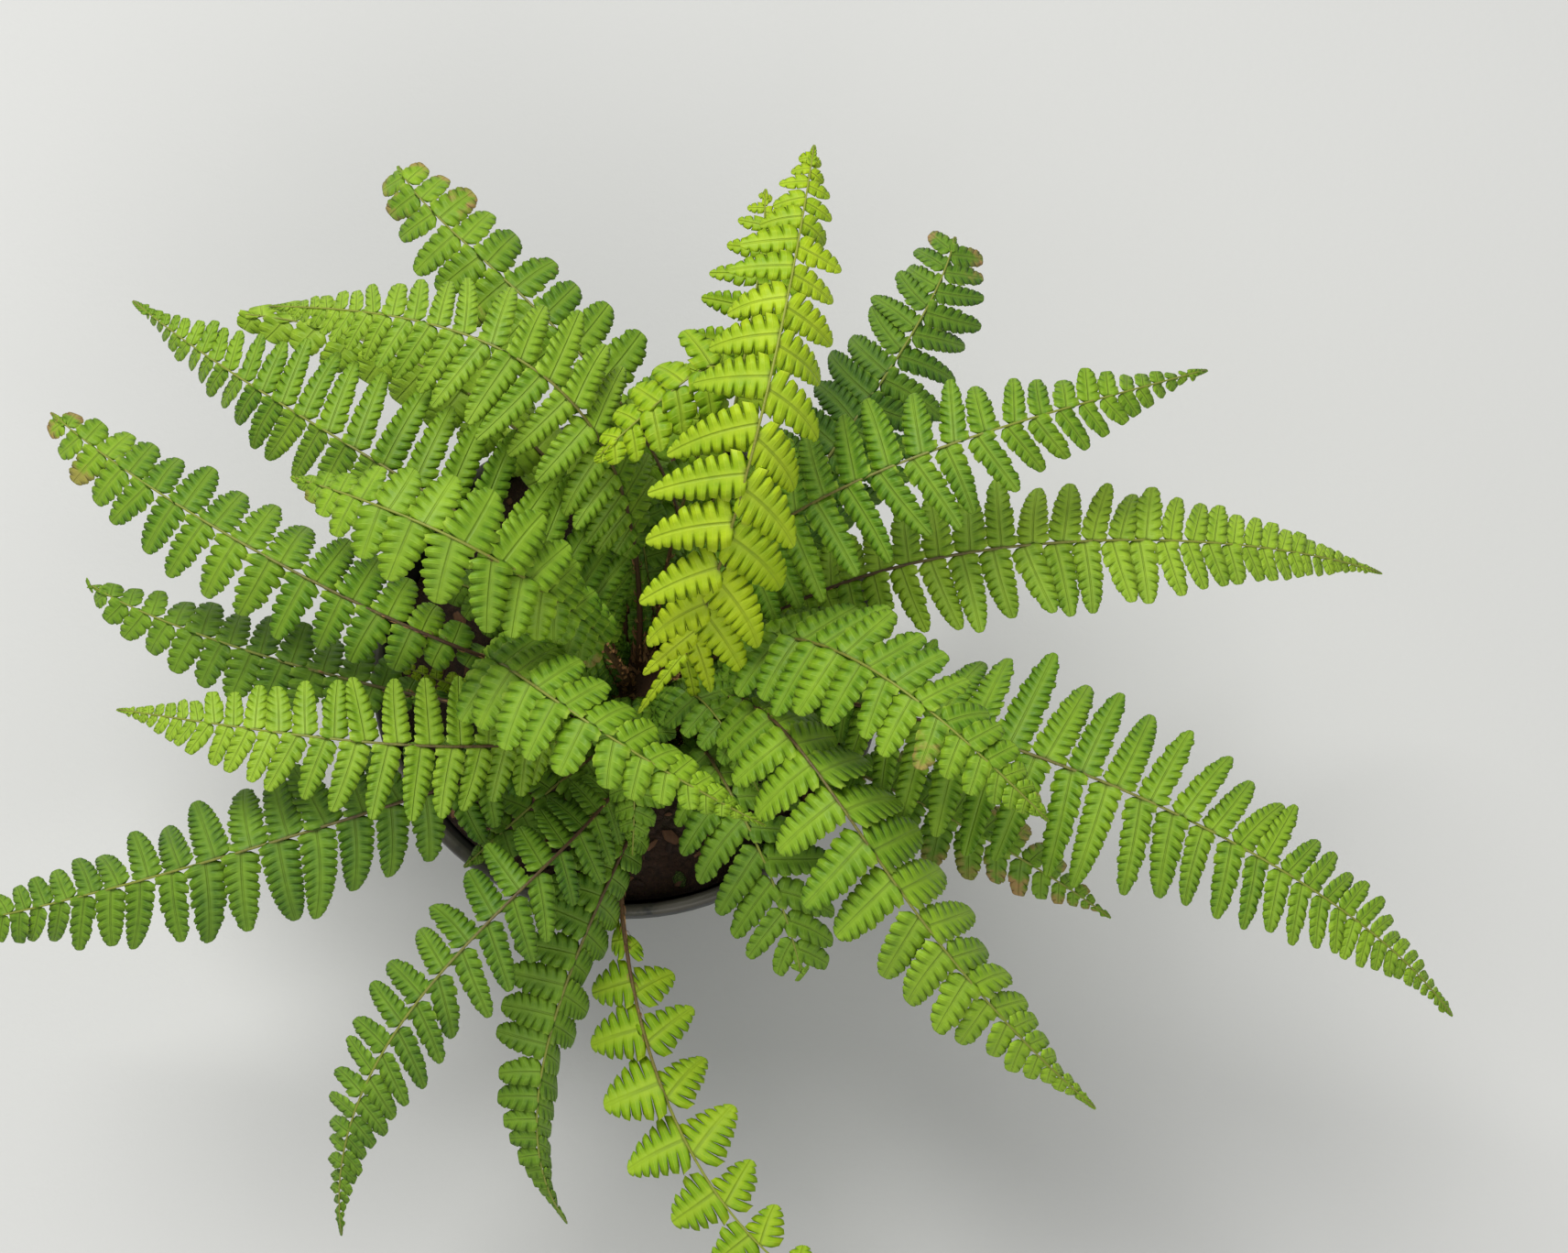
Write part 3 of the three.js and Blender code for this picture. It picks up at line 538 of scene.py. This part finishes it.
def new_piece(name, bm, finishes, body=BODY):
    """Makes an object of a bmesh that is in millimetres."""
    bmesh.ops.scale(bm, vec=(MM, MM, MM), verts=bm.verts)
    mesh = bpy.data.meshes.new(name)
    bm.to_mesh(mesh)
    bm.free()
    for material in finishes:
        mesh.materials.append(material)
    piece = bpy.data.objects.new(name, mesh)
    bpy.context.scene.collection.objects.link(piece)
    if body:
        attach(piece, body)
    return piece


def settle(piece):
    """Makes a piece's modifiers part of its mesh."""
    depsgraph = bpy.context.evaluated_depsgraph_get()
    mesh = bpy.data.meshes.new_from_object(piece.evaluated_get(depsgraph))
    piece.modifiers.clear()
    piece.data = mesh


def turned(bm, profile, steps):
    """Turns a profile of (radius, height) points about the vertical axis."""
    points = [bm.verts.new((radius, 0, height)) for radius, height in profile]
    edges = [bm.edges.new(pair) for pair in zip(points, points[1:])]
    bmesh.ops.spin(
        bm, geom=points + edges, cent=(0, 0, 0), axis=(0, 0, 1), dvec=(0, 0, 0), angle=2 * math.pi,
        steps=steps, use_merge=True, use_normal_flip=False, use_duplicate=False,
    )
    bmesh.ops.remove_doubles(bm, verts=bm.verts, dist=1e-4)
    bmesh.ops.recalc_face_normals(bm, faces=bm.faces)


def inner_radius(height):
    """Inner wall radius of the pot at a height."""
    top = RIM_RADIUS - LIP_OVERHANG
    return BASE_RADIUS + (top - BASE_RADIUS) * height / POT_HEIGHT - WALL


def make_pot():
    bm = bmesh.new()
    lip_foot = POT_HEIGHT - LIP_HEIGHT
    profile = [
        (0, 0),
        (BASE_RADIUS, 0),
        (inner_radius(lip_foot) + WALL, lip_foot),
        (RIM_RADIUS, lip_foot + 1),
        (RIM_RADIUS, POT_HEIGHT - 1),
        (RIM_RADIUS - 1, POT_HEIGHT),
        (inner_radius(POT_HEIGHT) + WALL, POT_HEIGHT),
        (inner_radius(POT_HEIGHT), POT_HEIGHT - 1),
        (inner_radius(BASE_THICKNESS), BASE_THICKNESS),
        (0, BASE_THICKNESS),
    ]
    turned(bm, profile, POT_STEPS)
    corners = [edge for edge in bm.edges if edge.calc_face_angle(0) > math.radians(30)]
    bmesh.ops.bevel(
        bm, geom=corners, offset=EDGE_ROUNDING, affect="EDGES", segments=2, profile=0.5, material=-1,
    )
    pot = new_piece("nursery_pot", bm, [pot_finish()])
    drills = bmesh.new()
    for hole in range(DRAIN_HOLES):
        angle = 2 * math.pi * hole / DRAIN_HOLES
        place = (DRAIN_CIRCLE * math.cos(angle), DRAIN_CIRCLE * math.sin(angle), 0)
        bmesh.ops.create_cone(
            drills, cap_ends=True, segments=DRAIN_SIDES, radius1=DRAIN_RADIUS, radius2=DRAIN_RADIUS,
            depth=6 * BASE_THICKNESS, matrix=Matrix.Translation(place),
        )
    drill = new_piece("drills", drills, [], None)
    cut = pot.modifiers.new("drain_holes", "BOOLEAN")
    cut.operation = "DIFFERENCE"
    cut.solver = "EXACT"
    cut.object = drill
    settle(pot)
    bpy.data.objects.remove(drill)
    pot.data.shade_smooth()
    pot.data.set_sharp_from_angle(angle=math.radians(35))
    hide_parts("pot")


def soil_height(x, y):
    """Height of the rough soil at a point, in millimetres."""
    roll = 1.3 * math.sin(x / 9 + 1) * math.cos(y / 11)
    crumb = noise.noise((x / 6, y / 6, 0)) * 0.9 + noise.noise((x / 2.4, y / 2.4, 5)) * 0.5
    return SOIL_TOP + roll + crumb


def make_soil(draw):
    bm = bmesh.new()
    foot = BASE_THICKNESS + GAP
    edge = inner_radius(SOIL_TOP) - GAP - 0.5
    profile = [(0, foot), (inner_radius(foot) - GAP, foot)]
    profile += [(edge * (1 - ring / SOIL_RINGS), SOIL_TOP) for ring in range(SOIL_RINGS)]
    turned(bm, profile + [(0, SOIL_TOP)], POT_STEPS)
    for vert in bm.verts:
        if vert.co.z > SOIL_TOP - 1:
            vert.co.z = soil_height(vert.co.x, vert.co.y)
    for face in bm.faces:
        face.smooth = True
    soil = new_piece("soil_surface", bm, [soil_finish()])
    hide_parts("soil")
    chips = bmesh.new()
    marks = chips.verts.layers.float_color.new("marks")
    for _ in range(CHIPS):
        angle = draw.uniform(0, 2 * math.pi)
        radius = (edge - 3) * math.sqrt(draw.random())
        x, y = radius * math.cos(angle), radius * math.sin(angle)
        if any(math.hypot(x - c["x"], y - c["y"]) < c["radius"] + 1 for c in (MAIN_CROWN, SIDE_CROWN)):
            continue
        made = bmesh.ops.create_icosphere(chips, subdivisions=1, radius=1)["verts"]
        size = draw.uniform(0.7, 2.6)
        tone = draw.random()
        for vert in made:
            vert.co *= draw.uniform(0.75, 1.2)
            vert[marks] = (tone, 0, 0, 1)
        shape = [size * draw.uniform(*span) for span in CHIP_SHAPE]
        bmesh.ops.scale(chips, vec=shape, verts=made)
        turn = Matrix.Rotation(draw.uniform(0, math.pi), 3, "Z")
        turn @= Matrix.Rotation(draw.uniform(-0.4, 0.4), 3, "X")
        bmesh.ops.rotate(chips, cent=(0, 0, 0), matrix=turn, verts=made)
        bmesh.ops.translate(chips, vec=(x, y, soil_height(x, y) + size * 0.12), verts=made)
    new_piece("bark_chips", chips, [chip_finish()])


def make_moss(draw):
    """Low cushions of moss against the pot's wall and the crowns."""
    bm = bmesh.new()
    for _ in range(CUSHIONS):
        angle = draw.uniform(0, 2 * math.pi)
        if draw.random() < 0.6:
            radius = inner_radius(SOIL_TOP) - draw.uniform(4, 9)
            x, y = radius * math.cos(angle), radius * math.sin(angle)
        else:
            radius = MAIN_CROWN["radius"] + draw.uniform(1, 7)
            x = MAIN_CROWN["x"] + radius * math.cos(angle)
            y = MAIN_CROWN["y"] + radius * math.sin(angle)
        made = bmesh.ops.create_icosphere(bm, subdivisions=2, radius=1)["verts"]
        for vert in made:
            vert.co *= 1 + 0.35 * noise.noise(vert.co * 2.5 + Vector((x, y, 0)))
        size = draw.uniform(1.6, 3.4)
        bmesh.ops.scale(bm, vec=(size * 1.3, size, size * 0.5), verts=made)
        bmesh.ops.rotate(bm, cent=(0, 0, 0), matrix=Matrix.Rotation(angle, 3, "Z"), verts=made)
        bmesh.ops.translate(bm, vec=(x, y, soil_height(x, y)), verts=made)
    for face in bm.faces:
        face.smooth = True
    new_piece("moss_cushions", bm, [moss_finish()])


def papery_scale(bm, marks, foot, outward, up, length, width, tone):
    """One papery scale, in the second finish: a narrow pointed flake that leans away from its foot."""
    grid = bmesh.ops.create_grid(bm, x_segments=1, y_segments=3, size=0.5)["verts"]
    across = outward.cross(up).normalized()
    for vert in grid:
        share = vert.co.y + 0.5
        side = 2 * vert.co.x * width / 2 * (1 - share) ** 0.6
        lean = up * (0.35 + 0.65 * share) + outward * (0.75 - 0.45 * share)
        vert.co = foot + across * side + lean * length * share
        vert[marks] = (tone, share, 0, 1)
    for face in {face for vert in grid for face in vert.link_faces}:
        face.material_index = 1


def make_crown(name, crown, draw):
    """A rootstock: a dome on a short post, covered with papery scales."""
    bm = bmesh.new()
    marks = bm.verts.layers.float_color.new("marks")
    foot = SOIL_TOP - CROWN_SUNK + GAP
    radius = crown["radius"] - SCALE_RELIEF
    profile = [(0, foot), (radius, foot)]
    profile += [
        (radius * math.cos(turn), SOIL_TOP + crown["rise"] * math.sin(turn))
        for turn in (math.pi / 2 * row / DOME_ROWS for row in range(DOME_ROWS))
    ]
    turned(bm, profile + [(0, SOIL_TOP + crown["rise"])], CROWN_STEPS)
    for vert in bm.verts:
        if vert.co.z > SOIL_TOP - 2:
            vert.co.z += 0.9 * noise.noise(vert.co / 3)
    for face in bm.faces:
        face.smooth = True
    for _ in range(crown["scales"]):
        angle = draw.uniform(0, 2 * math.pi)
        climb = math.asin(draw.uniform(0.02, 0.97))
        outward = Vector((math.cos(angle), math.sin(angle), 0))
        height = SOIL_TOP + crown["rise"] * math.sin(climb) - 0.4
        at = outward * radius * math.cos(climb) + Vector((0, 0, height))
        skyward = Vector((0, 0, 1)) * math.cos(climb) + outward * 0.25
        papery_scale(
            bm, marks, at, outward, skyward, draw.uniform(3.0, 6.0), draw.uniform(0.9, 1.7), draw.random(),
        )
    bmesh.ops.translate(bm, vec=(crown["x"], crown["y"], 0), verts=bm.verts)
    piece = new_piece(name + "_scaly", bm, [crown_finish(), scale_finish()])
    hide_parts(name)


class Rib:
    """The rib of a frond as a curve measured by its length, with the frame its leaflets stand in."""

    STEPS = 200

    def __init__(self, frond):
        crown = frond["crown"]
        lift, crest, tip = (Vector(frond[key]) for key in ("lift", "crest", "tip"))
        towards = math.degrees(math.atan2(crest.y - crown["y"], crest.x - crown["x"]))
        bearing = math.radians(frond.get("bearing", towards))
        rise = crown["rise"] * math.sqrt(1 - (frond["whorl"] / crown["radius"]) ** 2)
        root = Vector((
            crown["x"] + frond["whorl"] * math.cos(bearing),
            crown["y"] + frond["whorl"] * math.sin(bearing),
            SOIL_TOP + rise - STALK_DEPTH,
        ))
        self.points = (root, lift, crest, tip)
        self.left = Vector((lift.y - tip.y, tip.x - lift.x, 0)).normalized()
        places = [self.curve(step / self.STEPS) for step in range(self.STEPS + 1)]
        self.lengths = [0.0]
        for near, far in zip(places, places[1:]):
            self.lengths.append(self.lengths[-1] + (far - near).length)

    def curve(self, t):
        a, b, c, d = self.points
        s = 1 - t
        return a * s**3 + b * (3 * s * s * t) + c * (3 * s * t * t) + d * t**3

    def at(self, share):
        """Place, direction, leftward and upward at a share of the rib's length."""
        goal = share * self.lengths[-1]
        step = 1
        while step < self.STEPS and self.lengths[step] < goal:
            step += 1
        low, high = self.lengths[step - 1], self.lengths[step]
        t = (step - 1 + (goal - low) / (high - low)) / self.STEPS
        a, b, c, d = self.points
        s = 1 - t
        along = ((b - a) * (s * s) + (c - b) * (2 * s * t) + (d - c) * (t * t)).normalized()
        side = (self.left - along * self.left.dot(along)).normalized()
        return self.curve(t), along, side, along.cross(side)

    def levelled(self, along, share):
        """The three directions turned towards level where the rib climbs, so that leaflets face up."""
        heading = Vector((self.left.y, -self.left.x, 0))
        along = along.lerp(heading, share * max(0, along.z)).normalized()
        side = (self.left - along * self.left.dot(along)).normalized()
        return along, side, along.cross(side)


def outline(frond, share):
    """Length of the leaflets at a share of the leafy part, as a share of the longest."""
    widest = frond["widest"]
    if share < widest:
        return 0.6 + 0.4 * math.sin(math.pi / 2 * share / widest)
    return math.cos(math.pi / 2 * (share - widest) / (1 - widest)) ** frond["taper"]


def leaflet(bm, layers, foot, cut, shape, mark):
    """One leaflet, cut into lobes, from a grid that is laid along its own midrib.

    foot is the place and the three directions: outward, towards the frond's tip, and up. shape is the
    length, half the width, the slope at the foot and how much steeper it gets, how far the end bends
    forwards, the twist, and how uneven the edge is. mark is the tone, which carries painted light and
    shade, and the browning.
    """
    uv, marks = layers
    at, outward, forward, up = foot
    reach, width, slope, sag, bend, twist, ragged = shape
    lobes = max(3, round(reach / cut["lobe"]))
    steps = cut["steps"]
    rows = lobes * len(steps)
    long = min(1.0, reach / LONG_LEAFLET)
    blunt = cut["blunt"][0] * long + cut["blunt"][1] * (1 - long)
    relief = (0.05 + 0.07 * long) * reach / lobes * cut["swell"]
    columns = LEAFLET_COLUMNS if reach > SMALL_LEAFLET else SMALL_COLUMNS
    grid = bmesh.ops.create_grid(bm, x_segments=columns, y_segments=rows, size=0.5)["verts"]
    place = {}
    for vert in grid:
        side = 2 * vert.co.x
        row = round((vert.co.y + 0.5) * rows)
        lobe, spot = divmod(row, len(steps))
        step = steps[spot]
        swell = 1 - abs(2 * step - 1) ** cut["square"]
        count = lobe + step
        share = 1 - (1 - count / lobes) ** LOBE_CROWDING
        shallow = max(0.3 + 0.7 * long, cut["cut"] * 1.1)
        depth = cut["cut"] * min(1, shallow) * (1 - 0.45 * share) * (lobe > 0)
        edge = 1 - depth * (1 - swell) - NOTCH_DEPTH * (spot == NOTCH_POINT)
        spread = (1 - share**blunt) ** 0.55 * (1 - 0.22 * share * long) * edge + 0.02
        spread *= 1 + ragged * math.sin(2.3 * lobe + 9 * ragged + side) - 0.5 * max(0, 1 - 2.6 * count)
        half = side * width * spread
        ahead = min(1.0, share + abs(side) ** 1.3 * spread * cut["slant"] * min(1, 0.6 * count) / lobes)
        angle = slope + sag * ahead
        out = reach / sag * (math.sin(angle) - math.sin(slope))
        down = reach / sag * (math.cos(slope) - math.cos(angle))
        crest = up * math.cos(angle) + outward * math.sin(angle)
        puff = math.sin(math.pi * step) - 0.5
        hump = {0: -0.5, 1: 0.5 + puff, 2: puff * 0.6 - 0.9}[round(2 * abs(side))]
        lift = half * math.tan(twist) + relief * hump * (1 - share**4)
        aside = half + bend * ahead**2
        vert.co = at + outward * out - Vector((0, 0, down)) + forward * aside + crest * lift
        vert[marks] = (mark[0], long, ahead, mark[1])
        place[vert] = (count, side * spread)
    faces = {face for vert in grid for face in vert.link_faces}
    for face in faces:
        face.smooth = True
        for loop in face.loops:
            loop[uv].uv = place[loop.vert]
    if outward.cross(forward).dot(up) > 0:
        bmesh.ops.reverse_faces(bm, faces=list(faces))


def opening(frond, share):
    """How much further apart the leaflets stand near the foot."""
    return 1 + frond["foot_open"] * (1 - share) ** 5


def leaf_stations(frond, pairs):
    """Where the leaflet pairs part, as shares of the leafy length: closer where leaflets are shorter."""
    stations = [0.0]
    while stations[-1] < 1 - TIP_SHARE:
        pitch = frond["tip_pitch"] + (1 - frond["tip_pitch"]) * outline(frond, stations[-1])
        pitch *= opening(frond, stations[-1])
        stations.append(stations[-1] + pitch * 1.1 / (pairs + 1))
    return stations


def make_blade(frond, rib, draw):
    """All the leaflets of a frond, as one thin sheet."""
    bm = bmesh.new()
    layers = (bm.loops.layers.uv.new("leaflet"), bm.verts.layers.float_color.new("marks"))
    cut = CUTS[frond.get("cut", frond["look"])]
    pairs = frond["pairs"] * cut["pairs"] * frond["density"]
    bare = frond["bare"]
    fold, sag, roll = (math.radians(frond[key]) for key in ("fold", "sag", "roll"))
    stations = [bare + (1 - bare) * share for share in leaf_stations(frond, pairs)]
    first = (stations[1] - bare) * 0.9
    foot_pairs = frond["foot_pairs"]
    stations = [bare - first * step for step in range(foot_pairs, 0, -1)] + stations
    for index, (near, far) in enumerate(zip(stations, stations[1:])):
        middle = (near + far) / 2
        share = max(0, (middle - bare) / (1 - bare))
        foot = 1
        if index < foot_pairs:
            foot = frond["foot_size"] + (0.9 - frond["foot_size"]) * index / foot_pairs
        pitch = (far - near) * rib.lengths[-1] / opening(frond, share)
        fill = (cut["fill"][0] + (cut["fill"][1] - cut["fill"][0]) * share) * frond["spread"]
        sweep = frond["sweep"] + frond["tip_lean"] * share**2 + frond["foot_lean"] * (1 - share) ** 6
        shear = math.radians(frond["shear"])
        for hand in (1, -1):
            at, along, side, up = rib.at(middle + PAIR_OFFSET * hand * (far - near))
            along, side, up = rib.levelled(along, frond["level"])
            reach = frond["reach"] * max(0.07, outline(frond, share)) * foot * draw.uniform(0.92, 1.06)
            lean = math.radians(sweep) + shear * hand + draw.uniform(-0.12, 0.12)
            outward = (side * hand * math.cos(lean) + along * math.sin(lean)).normalized()
            forward = (along * math.cos(lean) - side * hand * math.sin(lean)).normalized()
            shape = (
                reach,
                pitch / 2 * fill * math.cos(lean) * draw.uniform(0.92, 1.08),
                fold + hand * roll + draw.uniform(-0.1, 0.1),
                max(0.05, sag * draw.uniform(0.6, 1.4)),
                reach * (frond["bend"] + draw.uniform(-0.5, 1.3) * frond["wave"]),
                math.radians(draw.uniform(-2, 20)),
                draw.uniform(0.0, 0.1),
            )
            spoilt = draw.uniform(0.6, 1) if draw.random() < frond["blemish"] else 0
            # tone: the leaflet's own random tone plus painted light and shade from the frond's shade and
            # tip_shade
            tone = frond["shade"] + draw.random() + frond["tip_shade"] * (share - 0.4)
            # painted shade: the foot leaflets, low by the crown, are darker
            if index < foot_pairs:
                tone -= 1
            spoilt = max(spoilt, frond["dead_tip"] * (share > 0.9))
            leaflet(bm, layers, (at - up * 0.3, outward, forward, up), cut, shape, (tone, spoilt))
    at, along, side, up = rib.at(1 - TIP_SHARE * 1.2)
    tip_reach = TIP_SHARE * 1.3 * rib.lengths[-1]
    tip = (tip_reach, max(0.9, 0.05 * frond["reach"]), 0.02, 0.2, 0, 0.02, 0)
    # the tip's tone carries the frond's painted light and shade too
    tone = frond["shade"] + frond["tip_shade"] * 0.6 + 0.5
    leaflet(bm, layers, (at, along, side, up), TIP, tip, (tone, frond["dead_tip"]))
    return bm


def stoutness(frond, share, foot, leafy, tip):
    """Width or height of a stalk at a share of its length, from those at its foot, leafy part and tip."""
    bare = frond["bare"]
    if share < bare:
        return frond["stalk"] * (foot + (leafy - foot) * share / bare)
    out = (share - bare) / (1 - bare)
    return frond["stalk"] * leafy * (1 - out) + tip * out


def make_rib(bm, marks, frond, rib, draw):
    """Stalk and rib: a grid rolled into a tube that tapers outward, grooved along its top."""
    grid = bmesh.ops.create_grid(bm, x_segments=RIB_SIDES, y_segments=RIB_STEPS, size=0.5)["verts"]
    frames = [rib.at(step / RIB_STEPS) for step in range(RIB_STEPS + 1)]
    for vert in grid:
        step = round((vert.co.y + 0.5) * RIB_STEPS)
        turn = 2 * math.pi * (vert.co.x + 0.5)
        at, _, side, up = frames[step]
        share = step / RIB_STEPS
        width = stoutness(frond, share, STALK_WIDTH, RIB_WIDTH, RIB_TIP_WIDTH)
        height = stoutness(frond, share, STALK_HEIGHT, RIB_HEIGHT, RIB_TIP_HEIGHT)
        across = math.cos(turn) * width / 2
        upward = math.sin(turn) * height / 2
        if math.sin(turn) > 0.95:
            upward *= 0.8
        vert.co = at + side * across + up * upward
        vert[marks] = (draw.random(), share, 0, 1)
    tube = {face for vert in grid for face in vert.link_faces}
    bmesh.ops.remove_doubles(bm, verts=grid, dist=0.004)
    ends = [edge for edge in bm.edges if edge.is_boundary]
    bmesh.ops.holes_fill(bm, edges=ends, sides=RIB_SIDES)
    bmesh.ops.recalc_face_normals(bm, faces=bm.faces)
    for face in tube:
        if face.is_valid:
            face.smooth = True


def make_stalk_scales(bm, marks, frond, rib, draw):
    """Papery scales, crowded at the stalk's foot and thinner outward."""
    scaly = frond["bare"] * SCALY_PART
    for _ in range(STALK_SCALES):
        share = scaly * draw.random() ** 1.6
        at, along, side, up = rib.at(share)
        turn = draw.uniform(0, 2 * math.pi)
        outward = side * math.cos(turn) + up * math.sin(turn)
        fade = 1 - share / scaly
        length = frond["stalk"] * (1.4 + 4.2 * fade) * draw.uniform(0.7, 1.2)
        foot = at + outward * frond["stalk"] * (0.7 + 0.5 * fade)
        papery_scale(bm, marks, foot, outward, along, length, 0.5 + 0.6 * fade, draw.random())


def make_frond(frond, finishes):
    draw = random.Random(frond["name"])
    rib = Rib(frond)
    name = frond["name"]
    blade = new_piece("blade_" + name, make_blade(frond, rib, draw), [finishes[frond["look"]]])
    thickness = blade.modifiers.new("thickness", "SOLIDIFY")
    thickness.thickness = LEAFLET_THICKNESS * MM
    thickness.offset = 0
    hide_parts("frond_" + name)
    bm = bmesh.new()
    marks = bm.verts.layers.float_color.new("marks")
    make_rib(bm, marks, frond, rib, draw)
    make_stalk_scales(bm, marks, frond, rib, draw)
    rib_look = "young_rib" if frond["look"] == "young" else "rib"
    stem = new_piece("rib_" + name, bm, [finishes[rib_look], finishes["scales"]])


def make_camera():
    data = bpy.data.cameras.new("camera")
    data.sensor_fit = "HORIZONTAL"
    data.angle = CAMERA_WIDTH
    camera = bpy.data.objects.new("camera", data)
    camera.location = CAMERA_PLACE
    camera.rotation_euler = (CAMERA_TILT, 0, 0)
    bpy.context.scene.collection.objects.link(camera)
    bpy.context.scene.camera = camera


def soft_light(name, place, size, power, colour):
    data = bpy.data.lights.new(name, "AREA")
    data.shape = "DISK"
    data.size = size
    data.energy = power
    data.color = colour
    light = bpy.data.objects.new(name, data)
    light.location = place
    light.rotation_euler = (Vector(LIGHTS_AIM) - Vector(place)).to_track_quat("-Z", "Y").to_euler()
    bpy.context.scene.collection.objects.link(light)


def make_studio():
    floor = bmesh.new()
    bmesh.ops.create_grid(floor, x_segments=1, y_segments=1, size=FLOOR_HALF_WIDTH / MM)
    new_piece("studio_floor", floor, [floor_finish()], None)
    soft_light("sky_panel", (-0.6, 1.0, 2.1), 1.3, 48, (1.0, 1.0, 0.98))
    soft_light("front_panel", (0.5, -1.5, 1.9), 1.6, 20, (1.0, 0.99, 0.96))
    world = bpy.data.worlds.new("studio")
    world.use_nodes = True
    sky = world.node_tree.nodes["Background"]
    sky.inputs["Color"].default_value = SKY_COLOUR
    sky.inputs["Strength"].default_value = SKY_STRENGTH
    bpy.context.scene.world = world
    bpy.context.scene.view_settings.view_transform = "Standard"


def make_finishes():
    return {
        "mid": leaf_finish(
            "leaf_mid", (0.085, 0.2, 0.004, 1), (0.28, 0.46, 0.016, 1), (0.4, 0.57, 0.06, 1), 0.34, 0.44),
        "dark": leaf_finish(
            "leaf_dark", (0.05, 0.135, 0.004, 1), (0.2, 0.36, 0.016, 1), (0.3, 0.47, 0.05, 1), 0.36, 0.45),
        "pale": leaf_finish(
            "leaf_pale", (0.12, 0.25, 0.006, 1), (0.34, 0.52, 0.028, 1), (0.46, 0.63, 0.08, 1), 0.32, 0.42),
        "young": leaf_finish(
            "leaf_young", (0.19, 0.35, 0.002, 1), (0.48, 0.62, 0.01, 1), (0.58, 0.7, 0.06, 1), 0.4, 0.46),
        "rib": rib_finish("rib_mature", (0.075, 0.035, 0.012, 1), (0.24, 0.28, 0.03, 1)),
        "young_rib": rib_finish("rib_young", (0.12, 0.06, 0.018, 1), (0.28, 0.33, 0.03, 1)),
        "scales": scale_finish(),
    }


make_camera()
make_studio()
make_pot()
make_soil(random.Random("soil"))
make_moss(random.Random("moss"))
make_crown("main_crown", MAIN_CROWN, random.Random("main crown"))
make_crown("side_crown", SIDE_CROWN, random.Random("side crown"))
looks = make_finishes()
for row in FRONDS:
    make_frond({**FROND_DEFAULTS, **row}, looks)
